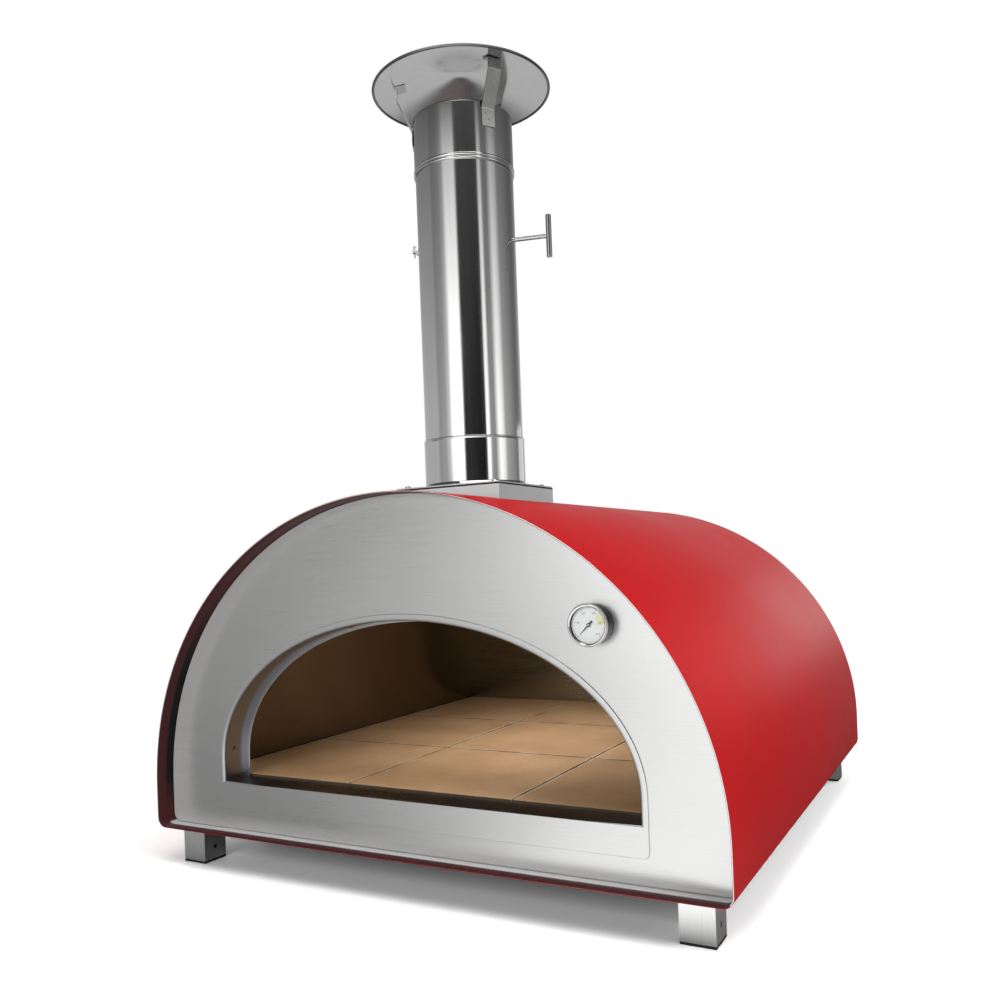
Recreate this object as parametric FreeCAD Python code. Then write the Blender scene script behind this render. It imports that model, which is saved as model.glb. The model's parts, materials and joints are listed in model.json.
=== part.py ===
import FreeCAD, Part
import math
import os

# Countertop pizza oven: an arched, insulated steel oven with a stone floor,
# a flue with a damper, and a rain cowl.
# Millimetres. +Z is up, the mouth faces -Y. The origin is on the ground, in
# the middle of the shell's footprint.

Vector = FreeCAD.Vector
UP = Vector(0, 0, 1)
REARWARD = Vector(0, 1, 0)

# Overall shell
SHELL_HALF_WIDTH = 415.0
SHELL_DEPTH = 870.0
SHELL_RISE = 395.0            # from the spring line to the crown
SHELL_SPRING_Z = 110.0        # where the upright sides turn into the arch
SHELL_CORNER_RADIUS = 14.0
LEG_HEIGHT = 52.0
SHEET = 1.5                   # folded sheet steel
GAP = 0.3                     # assembly gap between nested pieces

Y_FRONT = -SHELL_DEPTH / 2
Y_REAR = SHELL_DEPTH / 2

# Mouth: a lined, arched opening through the front wall
FRONT_RECESS = 28.0           # plate face behind the shell's rim
REVEAL_DEPTH = 41.5
MOUTH_HALF_WIDTH = 308.0
MOUTH_RISE = 194.0
MOUTH_SPRING_Z = 150.0
SURROUND_FLANGE = 9.0
STOP_FLANGE = 8.0             # at the feet
STOP_FLANGE_CROWN = 3.5
SILL_Z = 119.0                # top face of the sill
APRON_BOTTOM_Z = 84.0
APRON_CORNER_RADIUS = 8.0
RIVET_ANGLES = (4.0, 73.0, 107.0, 176.0)
RIVET_SEAT = 0.12             # flat head on the curved reveal

# Chamber: stainless vault on a stone floor
VAULT_HALF_WIDTH = 376.0
VAULT_RISE = 345.0
VAULT_SPRING_Z = 115.0
TILE_PITCH = 250.0
TILE_GAP = 1.0
TILE_THICKNESS = 30.0
TILE_ARRIS = 1.0
BOARD_THICKNESS = 20.0
TRAY_TOP_Z = 72.0
TRAY_THICKNESS = 2.0
TRAY_HALF_WIDTH = 395.0
RAIL_WIDTH = 40.0
REAR_RECESS = 23.0
REAR_FLANGE = 14.0
REAR_SCREW_ANGLES = (8.0, 40.0, 68.0, 112.0, 140.0, 172.0)

# Legs: square tube, screwed up into the chassis rails
LEG_SIZE = 40.0
LEG_WALL = 2.0
LEG_X = 368.0
LEG_INSET = 43.0              # leg axis behind the shell's front rim, and ahead of the rear rim
LEG_CAP = 3.0
LEG_HOLE_Z = 20.0
LEG_HOLE_RADIUS = 3.25

# Flue
FLUE_Y = Y_FRONT + 230.0
FLUE_RADIUS = 70.0            # outside of the pipe
FLUE_WALL = 1.0
BOX_SIZE = 165.0
BOX_TOP_Z = 517.0
BOX_FLANGE = 24.0
GASKET = 2.0
BASE_PLATE = 2.0
THROAT_RADIUS = 67.0
COLLAR_TOP_Z = 588.0
PIPE_TOP_Z = 1044.0
BOX_BOLT_OFFSET = 70.0

# Damper: a disc on a spindle across the pipe, turned by a tee bar
DAMPER_Z = 870.0
DAMPER_TURN = 15.0            # spindle swung towards the rear on its handle side, degrees
DAMPER_RADIUS = 66.0
SPINDLE_RADIUS = 3.0
SPINDLE_FIT = 0.08
TEE_REACH = 120.0
TEE_LENGTH = 60.0
TEE_RADIUS = 4.0

# Cowl: a shallow cone on three straps over a sleeve
SLEEVE_BOTTOM_Z = 966.0
SLEEVE_TOP_Z = 1048.0
SLEEVE_WALL = 0.8
CONE_RADIUS = 126.0
CONE_RIM_Z = 1090.0
CONE_RISE = 30.0
CONE_SHEET = 1.0
RIM_BEAD_RADIUS = 2.0
STRAP_WIDTH = 20.0
STRAP_ANGLES = {"left": 210.0, "right": 330.0, "rear": 90.0}

# Thermometer on the front plate
GAUGE_X = 262.0
GAUGE_Z = 340.0
GAUGE_STANDOFF = 22.0         # bezel's front face ahead of the plate
BEZEL_RADIUS = 24.0
CASE_RADIUS = 22.0            # inside
DIAL_RADIUS = 20.8
POINTER_START = 225.0         # clock bearing of the cold end of the scale, degrees
STEM_LENGTH = 82.0

# Positions that follow from the sizes above
PLATE_Y = Y_FRONT + FRONT_RECESS
PLATE_BACK_Y = PLATE_Y + SHEET
TRIM_Y = PLATE_Y - SHEET
STOP_Y = TRIM_Y + REVEAL_DEPTH
FRONT_WALL_Y = STOP_Y + SHEET + GAP
CHAMBER_Y = FRONT_WALL_Y + SHEET
TILES_Y = CHAMBER_Y + 0.7
CHAMBER_REAR_Y = TILES_Y + 3 * TILE_PITCH + 0.7
REAR_PLATE_Y = Y_REAR - REAR_RECESS - SHEET
FLOOR_Z = TRAY_TOP_Z + BOARD_THICKNESS + TILE_THICKNESS
SHELL_FLOOR_Z = LEG_HEIGHT + SHEET
RAIL_TOP_Z = TRAY_TOP_Z - TRAY_THICKNESS
PLATE_TOP_Z = BOX_TOP_Z + GASKET + BASE_PLATE
LEG_POINTS = [(x, y) for y in (Y_FRONT + LEG_INSET, Y_REAR - LEG_INSET) for x in (-LEG_X, LEG_X)]


def save(name, shape):
    shape.exportStep("parts/%s.step" % name)


def block(x0, x1, y0, y1, z0, z1):
    return Part.makeBox(x1 - x0, y1 - y0, z1 - z0, Vector(x0, y0, z0))


def rod(radius, start, end):
    return Part.makeCylinder(radius, (end - start).Length, start, end - start)


def upright_rod(radius, z0, z1, x=0.0, y=FLUE_Y):
    return rod(radius, Vector(x, y, z0), Vector(x, y, z1))


def upright_tube(outer, inner, z0, z1):
    return upright_rod(outer, z0, z1).cut(upright_rod(inner, z0 - 1, z1 + 1))


def hexagon(across_flats, start, end, turn=0.0):
    """Hexagonal prism from start to end."""
    axis = (end - start).normalize()
    side = Vector(0, 0, 1).cross(axis)
    if side.Length < 0.01:
        side = Vector(1, 0, 0)
    side.normalize()
    other = axis.cross(side)
    corner = across_flats / math.sqrt(3)
    points = []
    for i in range(7):
        angle = math.radians(60 * i + turn)
        points.append(start + side * (corner * math.cos(angle)) + other * (corner * math.sin(angle)))
    return Part.Face(Part.makePolygon(points)).extrude(end - start)


def dome(radius, height, base, axis):
    """Low domed fastener head standing on base along axis."""
    sphere_radius = (radius ** 2 + height ** 2) / (2 * height)
    sphere = Part.makeSphere(sphere_radius, base + axis * (height - sphere_radius))
    return sphere.common(Part.makeCylinder(radius, height + 1, base, axis))


def revolve_about_flue(points):
    """Solid of revolution about the flue's axis, from (radius, z) points."""
    outline = [Vector(r, FLUE_Y, z) for r, z in points]
    face = Part.Face(Part.makePolygon(outline + outline[:1]))
    return face.revolve(Vector(0, FLUE_Y, 0), UP, 360)


def arch(half_width, rise, spring_z, bottom_z, y0, y1, corner=0.0):
    """Solid with an arched section: flat bottom, upright sides, elliptical top."""
    left, right = -half_width, half_width
    low = bottom_z + corner
    ellipse = Part.Ellipse(Vector(right, y0, spring_z), Vector(0, y0, spring_z + rise),
                           Vector(0, y0, spring_z))
    top = Part.ArcOfEllipse(ellipse, 0, math.pi)
    edges = [
        Part.makeLine(Vector(right, y0, low), Vector(right, y0, spring_z)),
        top.toShape(),
        Part.makeLine(Vector(left, y0, spring_z), Vector(left, y0, low)),
        Part.makeLine(Vector(left + corner, y0, bottom_z), Vector(right - corner, y0, bottom_z)),
    ]
    if corner:
        bow = corner * (1 - math.sqrt(0.5))
        for side in (-1, 1):
            edges.append(Part.Arc(Vector(side * half_width, y0, low),
                                  Vector(side * (half_width - bow), y0, bottom_z + bow),
                                  Vector(side * (half_width - corner), y0, bottom_z)).toShape())
    face = Part.Face(Part.Wire(Part.__sortEdges__(edges)))
    return face.extrude(REARWARD * (y1 - y0))


def shell_section(inset, y0, y1):
    """The shell's section, drawn in by inset."""
    return arch(SHELL_HALF_WIDTH - inset, SHELL_RISE - inset, SHELL_SPRING_Z, LEG_HEIGHT + inset,
                y0, y1, max(SHELL_CORNER_RADIUS - inset, 1.0))


def mouth_section(growth, bottom_z, y0, y1):
    """The mouth's section, let out by growth."""
    return arch(MOUTH_HALF_WIDTH + growth, MOUTH_RISE + growth, MOUTH_SPRING_Z, bottom_z, y0, y1)


def stop_opening(growth, y0, y1):
    """The opening inside the stop ring, let out by growth."""
    return arch(MOUTH_HALF_WIDTH - STOP_FLANGE + growth, MOUTH_RISE - STOP_FLANGE_CROWN + growth,
                MOUTH_SPRING_Z, SILL_Z - 1, y0, y1)


def mouth_point(angle, growth, y):
    a, b = math.cos(math.radians(angle)), math.sin(math.radians(angle))
    return Vector((MOUTH_HALF_WIDTH + growth) * a, y, MOUTH_SPRING_Z + (MOUTH_RISE + growth) * b)


def vault_section(growth, y0, y1, bottom_z=TRAY_TOP_Z):
    return arch(VAULT_HALF_WIDTH + growth, VAULT_RISE + growth, VAULT_SPRING_Z, bottom_z, y0, y1)


def rear_screw_points(y):
    """Centres of the rear plate's screws, on a line inside the shell's rear flange."""
    inset = SHEET + REAR_FLANGE / 2
    points = []
    for angle in REAR_SCREW_ANGLES:
        a, b = math.cos(math.radians(angle)), math.sin(math.radians(angle))
        points.append(Vector((SHELL_HALF_WIDTH - inset) * a, y, SHELL_SPRING_Z + (SHELL_RISE - inset) * b))
    for x in (-180.0, 180.0):
        points.append(Vector(x, y, LEG_HEIGHT + inset))
    return points


# ---- casing ----

def outer_shell():
    skin = shell_section(0, Y_FRONT, Y_REAR).cut(shell_section(SHEET, Y_FRONT - 1, Y_REAR + 1))
    flange = shell_section(SHEET / 2, REAR_PLATE_Y - SHEET, REAR_PLATE_Y)
    flange = flange.cut(shell_section(SHEET + REAR_FLANGE, REAR_PLATE_Y - 5, REAR_PLATE_Y + 5))
    shell = skin.fuse(flange).removeSplitter()
    shell = shell.cut(upright_rod(FLUE_RADIUS + 5, 450, 600))
    for x, y in LEG_POINTS:
        shell = shell.cut(upright_rod(4.5, 40, 60, x, y))
    for point in rear_screw_points(REAR_PLATE_Y):
        shell = shell.cut(rod(2.1, point - REARWARD * 5, point + REARWARD * 5))
    return shell


def front_plate():
    """Pan-shaped front: a face with its edge folded back inside the shell."""
    inset = SHEET + GAP
    pan = shell_section(inset, PLATE_Y, PLATE_Y + 8)
    pan = pan.cut(shell_section(inset + SHEET, PLATE_BACK_Y, PLATE_Y + 9))
    pan = pan.cut(mouth_section(SHEET + GAP, SILL_Z - SHEET - GAP, PLATE_Y - 1, PLATE_Y + 9))
    return pan.cut(rod(5.3, Vector(GAUGE_X, PLATE_Y - 5, GAUGE_Z), Vector(GAUGE_X, PLATE_Y + 5, GAUGE_Z)))


def rear_plate():
    plate = shell_section(SHEET + GAP, REAR_PLATE_Y, REAR_PLATE_Y + SHEET)
    for point in rear_screw_points(REAR_PLATE_Y):
        plate = plate.cut(rod(2.6, point - REARWARD * 5, point + REARWARD * 5))
    return plate


def rear_plate_screws():
    screws = []
    for point in rear_screw_points(REAR_PLATE_Y + SHEET):
        shank = rod(2.0, point - REARWARD * 8, point)
        screws.append(shank.fuse(dome(4.5, 2.5, point, REARWARD)))
    return Part.makeCompound(screws)


# ---- mouth ----

def mouth_surround():
    """Front flange and the reveal behind it; it stands on the sill."""
    flange = mouth_section(SURROUND_FLANGE, SILL_Z, TRIM_Y, PLATE_Y)
    reveal = mouth_section(SHEET, SILL_Z, TRIM_Y, STOP_Y)
    surround = flange.fuse(reveal).cut(mouth_section(0, SILL_Z - 1, TRIM_Y - 1, STOP_Y + 1))
    for angle in RIVET_ANGLES:
        surround = surround.cut(rivet_hole(angle))
    return surround.removeSplitter()


def stop_ring():
    """Ring behind the reveal: a band riveted round it and a flange turned inwards."""
    band = mouth_section(2 * SHEET + GAP, SILL_Z, TRIM_Y + 15, STOP_Y + SHEET)
    band = band.cut(mouth_section(SHEET + GAP / 2, SILL_Z - 1, TRIM_Y, STOP_Y))
    ring = band.cut(stop_opening(0, TRIM_Y, STOP_Y + 5))
    for angle in RIVET_ANGLES:
        ring = ring.cut(rivet_hole(angle))
    return ring


def rivet_axis(angle):
    out = Vector(math.cos(math.radians(angle)) / MOUTH_HALF_WIDTH, 0,
                 math.sin(math.radians(angle)) / MOUTH_RISE)
    return out.normalize()


def rivet_hole(angle):
    start = mouth_point(angle, 0, TRIM_Y + 19)
    axis = rivet_axis(angle)
    return rod(1.75, start - axis, start + axis * 5)


def mouth_rivets():
    rivets = []
    for angle in RIVET_ANGLES:
        axis = rivet_axis(angle)
        wall = mouth_point(angle, 0, TRIM_Y + 19)
        seat = wall - axis * RIVET_SEAT
        rivets.append(dome(3.2, 1.4, seat, axis * -1).fuse(rod(1.6, seat, wall + axis * 3.7)))
    return Part.makeCompound(rivets)


def sill():
    """Sill tray with its apron folded down over the front plate."""
    half = MOUTH_HALF_WIDTH + SURROUND_FLANGE
    ledge_half = MOUTH_HALF_WIDTH + SHEET
    ledge = block(-ledge_half, ledge_half, TRIM_Y, STOP_Y, SILL_Z - SHEET, SILL_Z)
    apron = block(-half, half, TRIM_Y, PLATE_Y, APRON_BOTTOM_Z, SILL_Z)
    corners = [edge for edge in apron.Edges
               if edge.BoundBox.YLength > SHEET / 2 and edge.BoundBox.ZMax < APRON_BOTTOM_Z + 1]
    return apron.makeFillet(APRON_CORNER_RADIUS, corners).fuse(ledge).removeSplitter()


# ---- chamber ----

def vault():
    skin = vault_section(SHEET, CHAMBER_Y, CHAMBER_REAR_Y)
    skin = skin.cut(vault_section(0, CHAMBER_Y - 1, CHAMBER_REAR_Y + 1, TRAY_TOP_Z - 1))
    return skin.cut(upright_rod(THROAT_RADIUS + GAP, 400, 500))


def chamber_front_wall():
    wall = vault_section(SHEET + 6, FRONT_WALL_Y, CHAMBER_Y)
    wall = wall.cut(stop_opening(SHEET, FRONT_WALL_Y - 1, CHAMBER_Y + 1))
    return wall.cut(rod(5.0, Vector(GAUGE_X, FRONT_WALL_Y - 1, GAUGE_Z),
                        Vector(GAUGE_X, CHAMBER_Y + 1, GAUGE_Z)))


def chamber_rear_wall():
    return vault_section(SHEET + 6, CHAMBER_REAR_Y, CHAMBER_REAR_Y + SHEET)


def vault_blanket():
    """Ceramic fibre blanket wrapped over the vault, under the shell."""
    y0, y1 = CHAMBER_Y + 0.5, CHAMBER_REAR_Y - 0.5
    low = TRAY_TOP_Z + 1
    blanket = shell_section(SHEET + 1, y0, y1).common(block(-500, 500, y0, y1, low, 600))
    blanket = blanket.cut(vault_section(SHEET + 0.5, y0 - 1, y1 + 1, low - 1))
    return blanket.cut(upright_rod(FLUE_RADIUS + 6, 400, 600))


def front_insulation():
    """Board between the front plate and the chamber's front wall."""
    y0, y1 = PLATE_BACK_Y + 0.5, FRONT_WALL_Y - 0.5
    low = TRAY_TOP_Z + 0.5
    board = shell_section(2 * SHEET + 1, y0, y1).common(block(-500, 500, y0, y1, low, 600))
    board = board.cut(mouth_section(2 * SHEET + 1, SILL_Z - SHEET - 0.5, y0 - 1, y1 + 1))
    return board.cut(rod(10.5, Vector(GAUGE_X, y0 - 1, GAUGE_Z), Vector(GAUGE_X, y1 + 1, GAUGE_Z)))


def rear_insulation():
    y0, y1 = CHAMBER_REAR_Y + SHEET + 0.5, REAR_PLATE_Y - SHEET - 0.5
    board = shell_section(SHEET + 1, y0, y1).common(block(-500, 500, y0, y1, TRAY_TOP_Z + 0.5, 600))
    for point in rear_screw_points(y1):
        board = board.cut(rod(4.0, point - REARWARD * 8, point + REARWARD))
    return board


def floor_tray():
    return block(-TRAY_HALF_WIDTH, TRAY_HALF_WIDTH, Y_FRONT + 37, REAR_PLATE_Y - SHEET - 0.5,
                 RAIL_TOP_Z, TRAY_TOP_Z)


def floor_board():
    half = 1.5 * TILE_PITCH
    return block(-half, half, TILES_Y, TILES_Y + 3 * TILE_PITCH, TRAY_TOP_Z, FLOOR_Z - TILE_THICKNESS)


def floor_tile(column, row):
    half = (TILE_PITCH - TILE_GAP) / 2
    x = column * TILE_PITCH
    y = TILES_Y + (row + 0.5) * TILE_PITCH
    tile = block(x - half, x + half, y - half, y + half, FLOOR_Z - TILE_THICKNESS, FLOOR_Z)
    top_edges = [edge for edge in tile.Edges if edge.BoundBox.ZMin > FLOOR_Z - 1]
    return tile.makeChamfer(TILE_ARRIS, top_edges)


def chassis_rail(side):
    """Flat box-section rail on the shell's floor, over a pair of legs."""
    x = side * LEG_X
    y0, y1 = Y_FRONT + 37, Y_REAR - 30
    half = RAIL_WIDTH / 2
    rail = block(x - half, x + half, y0, y1, SHELL_FLOOR_Z, RAIL_TOP_Z)
    rail = rail.cut(block(x - half + 2, x + half - 2, y0 - 1, y1 + 1, SHELL_FLOOR_Z + 2, RAIL_TOP_Z - 2))
    for leg_x, leg_y in LEG_POINTS:
        rail = rail.cut(upright_rod(4.5, SHELL_FLOOR_Z - 1, SHELL_FLOOR_Z + 3, leg_x, leg_y))
    return rail


# ---- legs ----

def leg(x, y):
    """Square tube with a welded top plate, and a cross hole for fixing to a stand."""
    half = LEG_SIZE / 2
    inner = half - LEG_WALL
    tube = block(x - half, x + half, y - half, y + half, LEG_CAP, LEG_HEIGHT)
    tube = tube.cut(block(x - inner, x + inner, y - inner, y + inner, LEG_CAP - 1, LEG_HEIGHT - 2))
    tube = tube.cut(upright_rod(4.5, LEG_HEIGHT - 5, LEG_HEIGHT + 1, x, y))
    return tube.cut(rod(LEG_HOLE_RADIUS, Vector(x - LEG_SIZE, y, LEG_HOLE_Z),
                        Vector(x + LEG_SIZE, y, LEG_HOLE_Z)))


def leg_caps():
    caps = []
    half = LEG_SIZE / 2
    plug = half - LEG_WALL - 0.2
    for x, y in LEG_POINTS:
        sole = block(x - half, x + half, y - half, y + half, 0, LEG_CAP)
        caps.append(sole.fuse(block(x - plug, x + plug, y - plug, y + plug, LEG_CAP, 14)))
    return Part.makeCompound(caps)


def leg_fixings():
    """One M8 bolt and nut for each leg, reached through the open foot of the tube."""
    pieces = []
    under = LEG_HEIGHT - 2
    over = SHELL_FLOOR_Z + 2
    for x, y in LEG_POINTS:
        shank = upright_rod(4.0, under, over + 9, x, y)
        head = hexagon(13.0, Vector(x, y, under - 5.3), Vector(x, y, under))
        pieces.append(shank.fuse(head))
        nut = hexagon(13.0, Vector(x, y, over), Vector(x, y, over + 6.5), 30)
        pieces.append(nut.cut(upright_rod(4.0, over - 1, over + 8, x, y)))
    return Part.makeCompound(pieces)


# ---- flue ----

def bolt_points():
    return [(x, FLUE_Y + y) for x in (-BOX_BOLT_OFFSET, BOX_BOLT_OFFSET)
            for y in (-BOX_BOLT_OFFSET, BOX_BOLT_OFFSET)]


def flue_square(size, z0, z1):
    half = size / 2
    return block(-half, half, FLUE_Y - half, FLUE_Y + half, z0, z1)


def cut_bolt_holes(shape):
    for x, y in bolt_points():
        shape = shape.cut(upright_rod(3.2, BOX_TOP_Z - 15, BOX_TOP_Z + 15, x, y))
    return shape


def flue_throat():
    """Duct from the vault's crown up to the base plate."""
    tube = upright_tube(THROAT_RADIUS, THROAT_RADIUS - SHEET, 440, BOX_TOP_Z + GASKET)
    return tube.cut(vault_section(-4, CHAMBER_Y, CHAMBER_REAR_Y))


def flue_box():
    """Upstand on the shell's crown, with a flange turned inwards at its top."""
    box = flue_square(BOX_SIZE, 440, BOX_TOP_Z)
    box = box.cut(flue_square(BOX_SIZE - 2 * SHEET, 430, BOX_TOP_Z - SHEET))
    box = box.cut(flue_square(BOX_SIZE - 2 * BOX_FLANGE, 430, BOX_TOP_Z + 1))
    box = box.cut(upright_rod(FLUE_RADIUS, 430, BOX_TOP_Z + 1))
    return cut_bolt_holes(box.cut(shell_section(0, Y_FRONT, Y_REAR)))


def flue_gasket():
    gasket = flue_square(BOX_SIZE, BOX_TOP_Z, BOX_TOP_Z + GASKET)
    return cut_bolt_holes(gasket.cut(upright_rod(THROAT_RADIUS + 1, 500, 530)))


def flue_base_plate():
    plate = flue_square(BOX_SIZE, BOX_TOP_Z + GASKET, PLATE_TOP_Z)
    return cut_bolt_holes(plate.cut(upright_rod(THROAT_RADIUS, 500, 530)))


def flue_collar():
    """Socket for the pipe, flared at its foot."""
    inner = FLUE_RADIUS + GAP
    outer = inner + SHEET
    return revolve_about_flue([
        (inner, PLATE_TOP_Z), (outer + 4, PLATE_TOP_Z), (outer + 4, PLATE_TOP_Z + 1.2),
        (outer + 1, PLATE_TOP_Z + 2.2), (outer, PLATE_TOP_Z + 4), (outer, COLLAR_TOP_Z - 1.5),
        (outer - 0.6, COLLAR_TOP_Z), (inner, COLLAR_TOP_Z)])


def flue_box_bolts():
    """Dome-headed M6 bolts with nuts under the box's flange."""
    pieces = []
    under = BOX_TOP_Z - SHEET
    for x, y in bolt_points():
        shank = upright_rod(3.0, under - 8, PLATE_TOP_Z, x, y)
        pieces.append(shank.fuse(dome(5.5, 3.6, Vector(x, y, PLATE_TOP_Z), UP)))
        nut = hexagon(10.0, Vector(x, y, under - 5), Vector(x, y, under))
        pieces.append(nut.cut(upright_rod(3.0, under - 6, under + 1, x, y)))
    return Part.makeCompound(pieces)


def flue_pipe():
    pipe = upright_tube(FLUE_RADIUS, FLUE_RADIUS - FLUE_WALL, PLATE_TOP_Z + GAP, PIPE_TOP_Z)
    return pipe.cut(along_spindle(SPINDLE_RADIUS + SPINDLE_FIT, -FLUE_RADIUS - 5, FLUE_RADIUS + 5))


# ---- damper ----

SPINDLE = Vector(math.cos(math.radians(DAMPER_TURN)), math.sin(math.radians(DAMPER_TURN)), 0)
DAMPER_FACE = SPINDLE.cross(UP)
DAMPER_CENTRE = Vector(0, FLUE_Y, DAMPER_Z)


def along_spindle(radius, start, end):
    return rod(radius, DAMPER_CENTRE + SPINDLE * start, DAMPER_CENTRE + SPINDLE * end)


def damper_spindle():
    """Round rod across the pipe, drilled for the split pin and the plate's screws."""
    spindle = along_spindle(SPINDLE_RADIUS, -FLUE_RADIUS - 12, TEE_REACH - TEE_RADIUS + 1)
    pin = DAMPER_CENTRE - SPINDLE * (FLUE_RADIUS + 9)
    spindle = spindle.cut(rod(0.9, pin - UP * 10, pin + UP * 10))
    for offset in (-30.0, 30.0):
        spindle = spindle.cut(damper_screw_shank(offset))
    return spindle.cut(damper_tee_bar())


def damper_screw_shank(offset):
    middle = DAMPER_CENTRE + SPINDLE * offset
    return rod(2.0, middle - DAMPER_FACE * 5, middle + DAMPER_FACE * (SPINDLE_RADIUS + SHEET))


def damper_plate():
    """Disc on one side of the spindle, edge up when the flue is open."""
    start = DAMPER_CENTRE + DAMPER_FACE * SPINDLE_RADIUS
    plate = rod(DAMPER_RADIUS, start, start + DAMPER_FACE * SHEET)
    for offset in (-30.0, 30.0):
        plate = plate.cut(damper_screw_shank(offset))
    return plate


def damper_screws():
    screws = []
    for offset in (-30.0, 30.0):
        face = DAMPER_CENTRE + SPINDLE * offset + DAMPER_FACE * (SPINDLE_RADIUS + SHEET)
        screws.append(damper_screw_shank(offset).fuse(dome(3.8, 2.2, face, DAMPER_FACE)))
    return Part.makeCompound(screws)


def damper_tee_bar():
    middle = DAMPER_CENTRE + SPINDLE * TEE_REACH
    bar = rod(TEE_RADIUS, middle - UP * (TEE_LENGTH / 2), middle + UP * (TEE_LENGTH / 2))
    return bar.makeFillet(1.0, [edge for edge in bar.Edges if edge.BoundBox.ZLength < 0.01])


def damper_washer():
    start, end = -FLUE_RADIUS - 1.6, -FLUE_RADIUS - 0.4
    return along_spindle(7.0, start, end).cut(along_spindle(SPINDLE_RADIUS, start - 1, end + 1))


def damper_nut():
    start = DAMPER_CENTRE - SPINDLE * (FLUE_RADIUS + 6.6)
    nut = hexagon(10.0, start, start + SPINDLE * 5)
    return nut.cut(along_spindle(SPINDLE_RADIUS, -FLUE_RADIUS - 8, -FLUE_RADIUS))


def damper_split_pin():
    """Cotter through the spindle's end, with its eye at the top."""
    middle = DAMPER_CENTRE - SPINDLE * (FLUE_RADIUS + 9)
    leg_piece = rod(0.85, middle - UP * 9, middle + UP * 4.6)
    eye = Part.makeTorus(1.8, 0.8, middle + UP * 6.2, DAMPER_FACE)
    return leg_piece.fuse(eye)


# ---- cowl ----

def cowl_sleeve():
    """Sleeve over the pipe's end, with a bead at its mouth and its top edge turned in."""
    inner = FLUE_RADIUS + GAP
    outer = inner + SLEEVE_WALL
    low, top = SLEEVE_BOTTOM_Z, SLEEVE_TOP_Z
    return revolve_about_flue([
        (inner, low), (outer + 0.6, low), (outer + 1.2, low + 2), (outer + 0.6, low + 4),
        (outer + 0.3, low + 4.6), (outer + 1.0, low + 6.4), (outer + 0.3, low + 8.2), (outer, low + 9),
        (outer, top - 3), (outer - 0.8, top - 0.9), (outer - 2.6, top), (FLUE_RADIUS - 4, top),
        (FLUE_RADIUS - 4, top - 1), (outer - 3, top - 1), (inner, top - 3)])


def cowl_cone():
    cone = revolve_about_flue([
        (0, CONE_RIM_Z + CONE_RISE), (0, CONE_RIM_Z + CONE_RISE - CONE_SHEET),
        (CONE_RADIUS, CONE_RIM_Z - CONE_SHEET / 2), (CONE_RADIUS, CONE_RIM_Z + CONE_SHEET / 2)])
    bead = Part.makeTorus(CONE_RADIUS, RIM_BEAD_RADIUS, Vector(0, FLUE_Y, CONE_RIM_Z), UP)
    return cone.fuse(bead)


def cone_underside(radius):
    return CONE_RIM_Z - CONE_SHEET / 2 + (CONE_RISE - CONE_SHEET / 2) * (1 - radius / CONE_RADIUS)


def cowl_strap(angle):
    """Bent strap: welded to the sleeve, leaning out, then turned under the cone."""
    foot = FLUE_RADIUS + GAP + SLEEVE_WALL
    head = foot + 21
    tab = head - 13
    t = SHEET
    outline = [
        (foot, 1012), (foot, 1037), (head, 1082), (head, cone_underside(head) - t - 0.4),
        (tab, cone_underside(tab) - t - 0.4), (tab, cone_underside(tab) - 0.4),
        (head + t, cone_underside(head + t) - 0.4), (head + t, 1081.5), (foot + t, 1036.5),
        (foot + t, 1012)]
    points = [Vector(r, FLUE_Y - STRAP_WIDTH / 2, z) for r, z in outline]
    strap = Part.Face(Part.makePolygon(points + points[:1])).extrude(REARWARD * STRAP_WIDTH)
    strap.rotate(Vector(0, FLUE_Y, 0), UP, angle)
    return strap


# ---- thermometer ----

def gauge_point(behind):
    """Point on the thermometer's axis, at a distance behind the bezel's front face."""
    return Vector(GAUGE_X, PLATE_Y - GAUGE_STANDOFF + behind, GAUGE_Z)


def gauge_disc(radius, start, end):
    return rod(radius, gauge_point(start), gauge_point(end))


def gauge_case():
    back = GAUGE_STANDOFF
    case = gauge_disc(CASE_RADIUS + 1, 4, back).cut(gauge_disc(CASE_RADIUS, 3, back - 1.5))
    return case.cut(gauge_disc(1.2, back - 3, back + 1))


def gauge_bezel():
    ring = gauge_disc(BEZEL_RADIUS, 0, 4).cut(gauge_disc(DIAL_RADIUS, -1, 2))
    ring = ring.cut(gauge_disc(CASE_RADIUS, 2, 8))
    rims = [edge for edge in ring.Edges
            if edge.BoundBox.YMax < gauge_point(0.1).y and edge.BoundBox.YLength < 0.1]
    return ring.makeFillet(1.4, rims)


def gauge_lens():
    return gauge_disc(CASE_RADIUS - 0.2, 2, 3.4)


def gauge_dial():
    return gauge_disc(DIAL_RADIUS, 6.5, 7.3).cut(gauge_disc(1.2, 6, 8))


def gauge_pointer():
    """Tapered pointer with a short tail, on a thin shaft through the dial."""
    face = []
    for length, half in ((14, 0.15), (0, 0.9), (-6.5, 1.0)):
        face.append((half, length))
    outline = face + [(-half, length) for half, length in reversed(face)]
    y = gauge_point(4.6).y
    points = [Vector(GAUGE_X + across, y, GAUGE_Z + along) for across, along in outline]
    blade = Part.Face(Part.makePolygon(points + points[:1])).extrude(REARWARD * 0.6)
    blade.rotate(gauge_point(0), REARWARD, POINTER_START)
    return blade.fuse(gauge_disc(2.2, 4.3, 5.5)).fuse(gauge_disc(1.1, 5.5, GAUGE_STANDOFF + 4))


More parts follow.
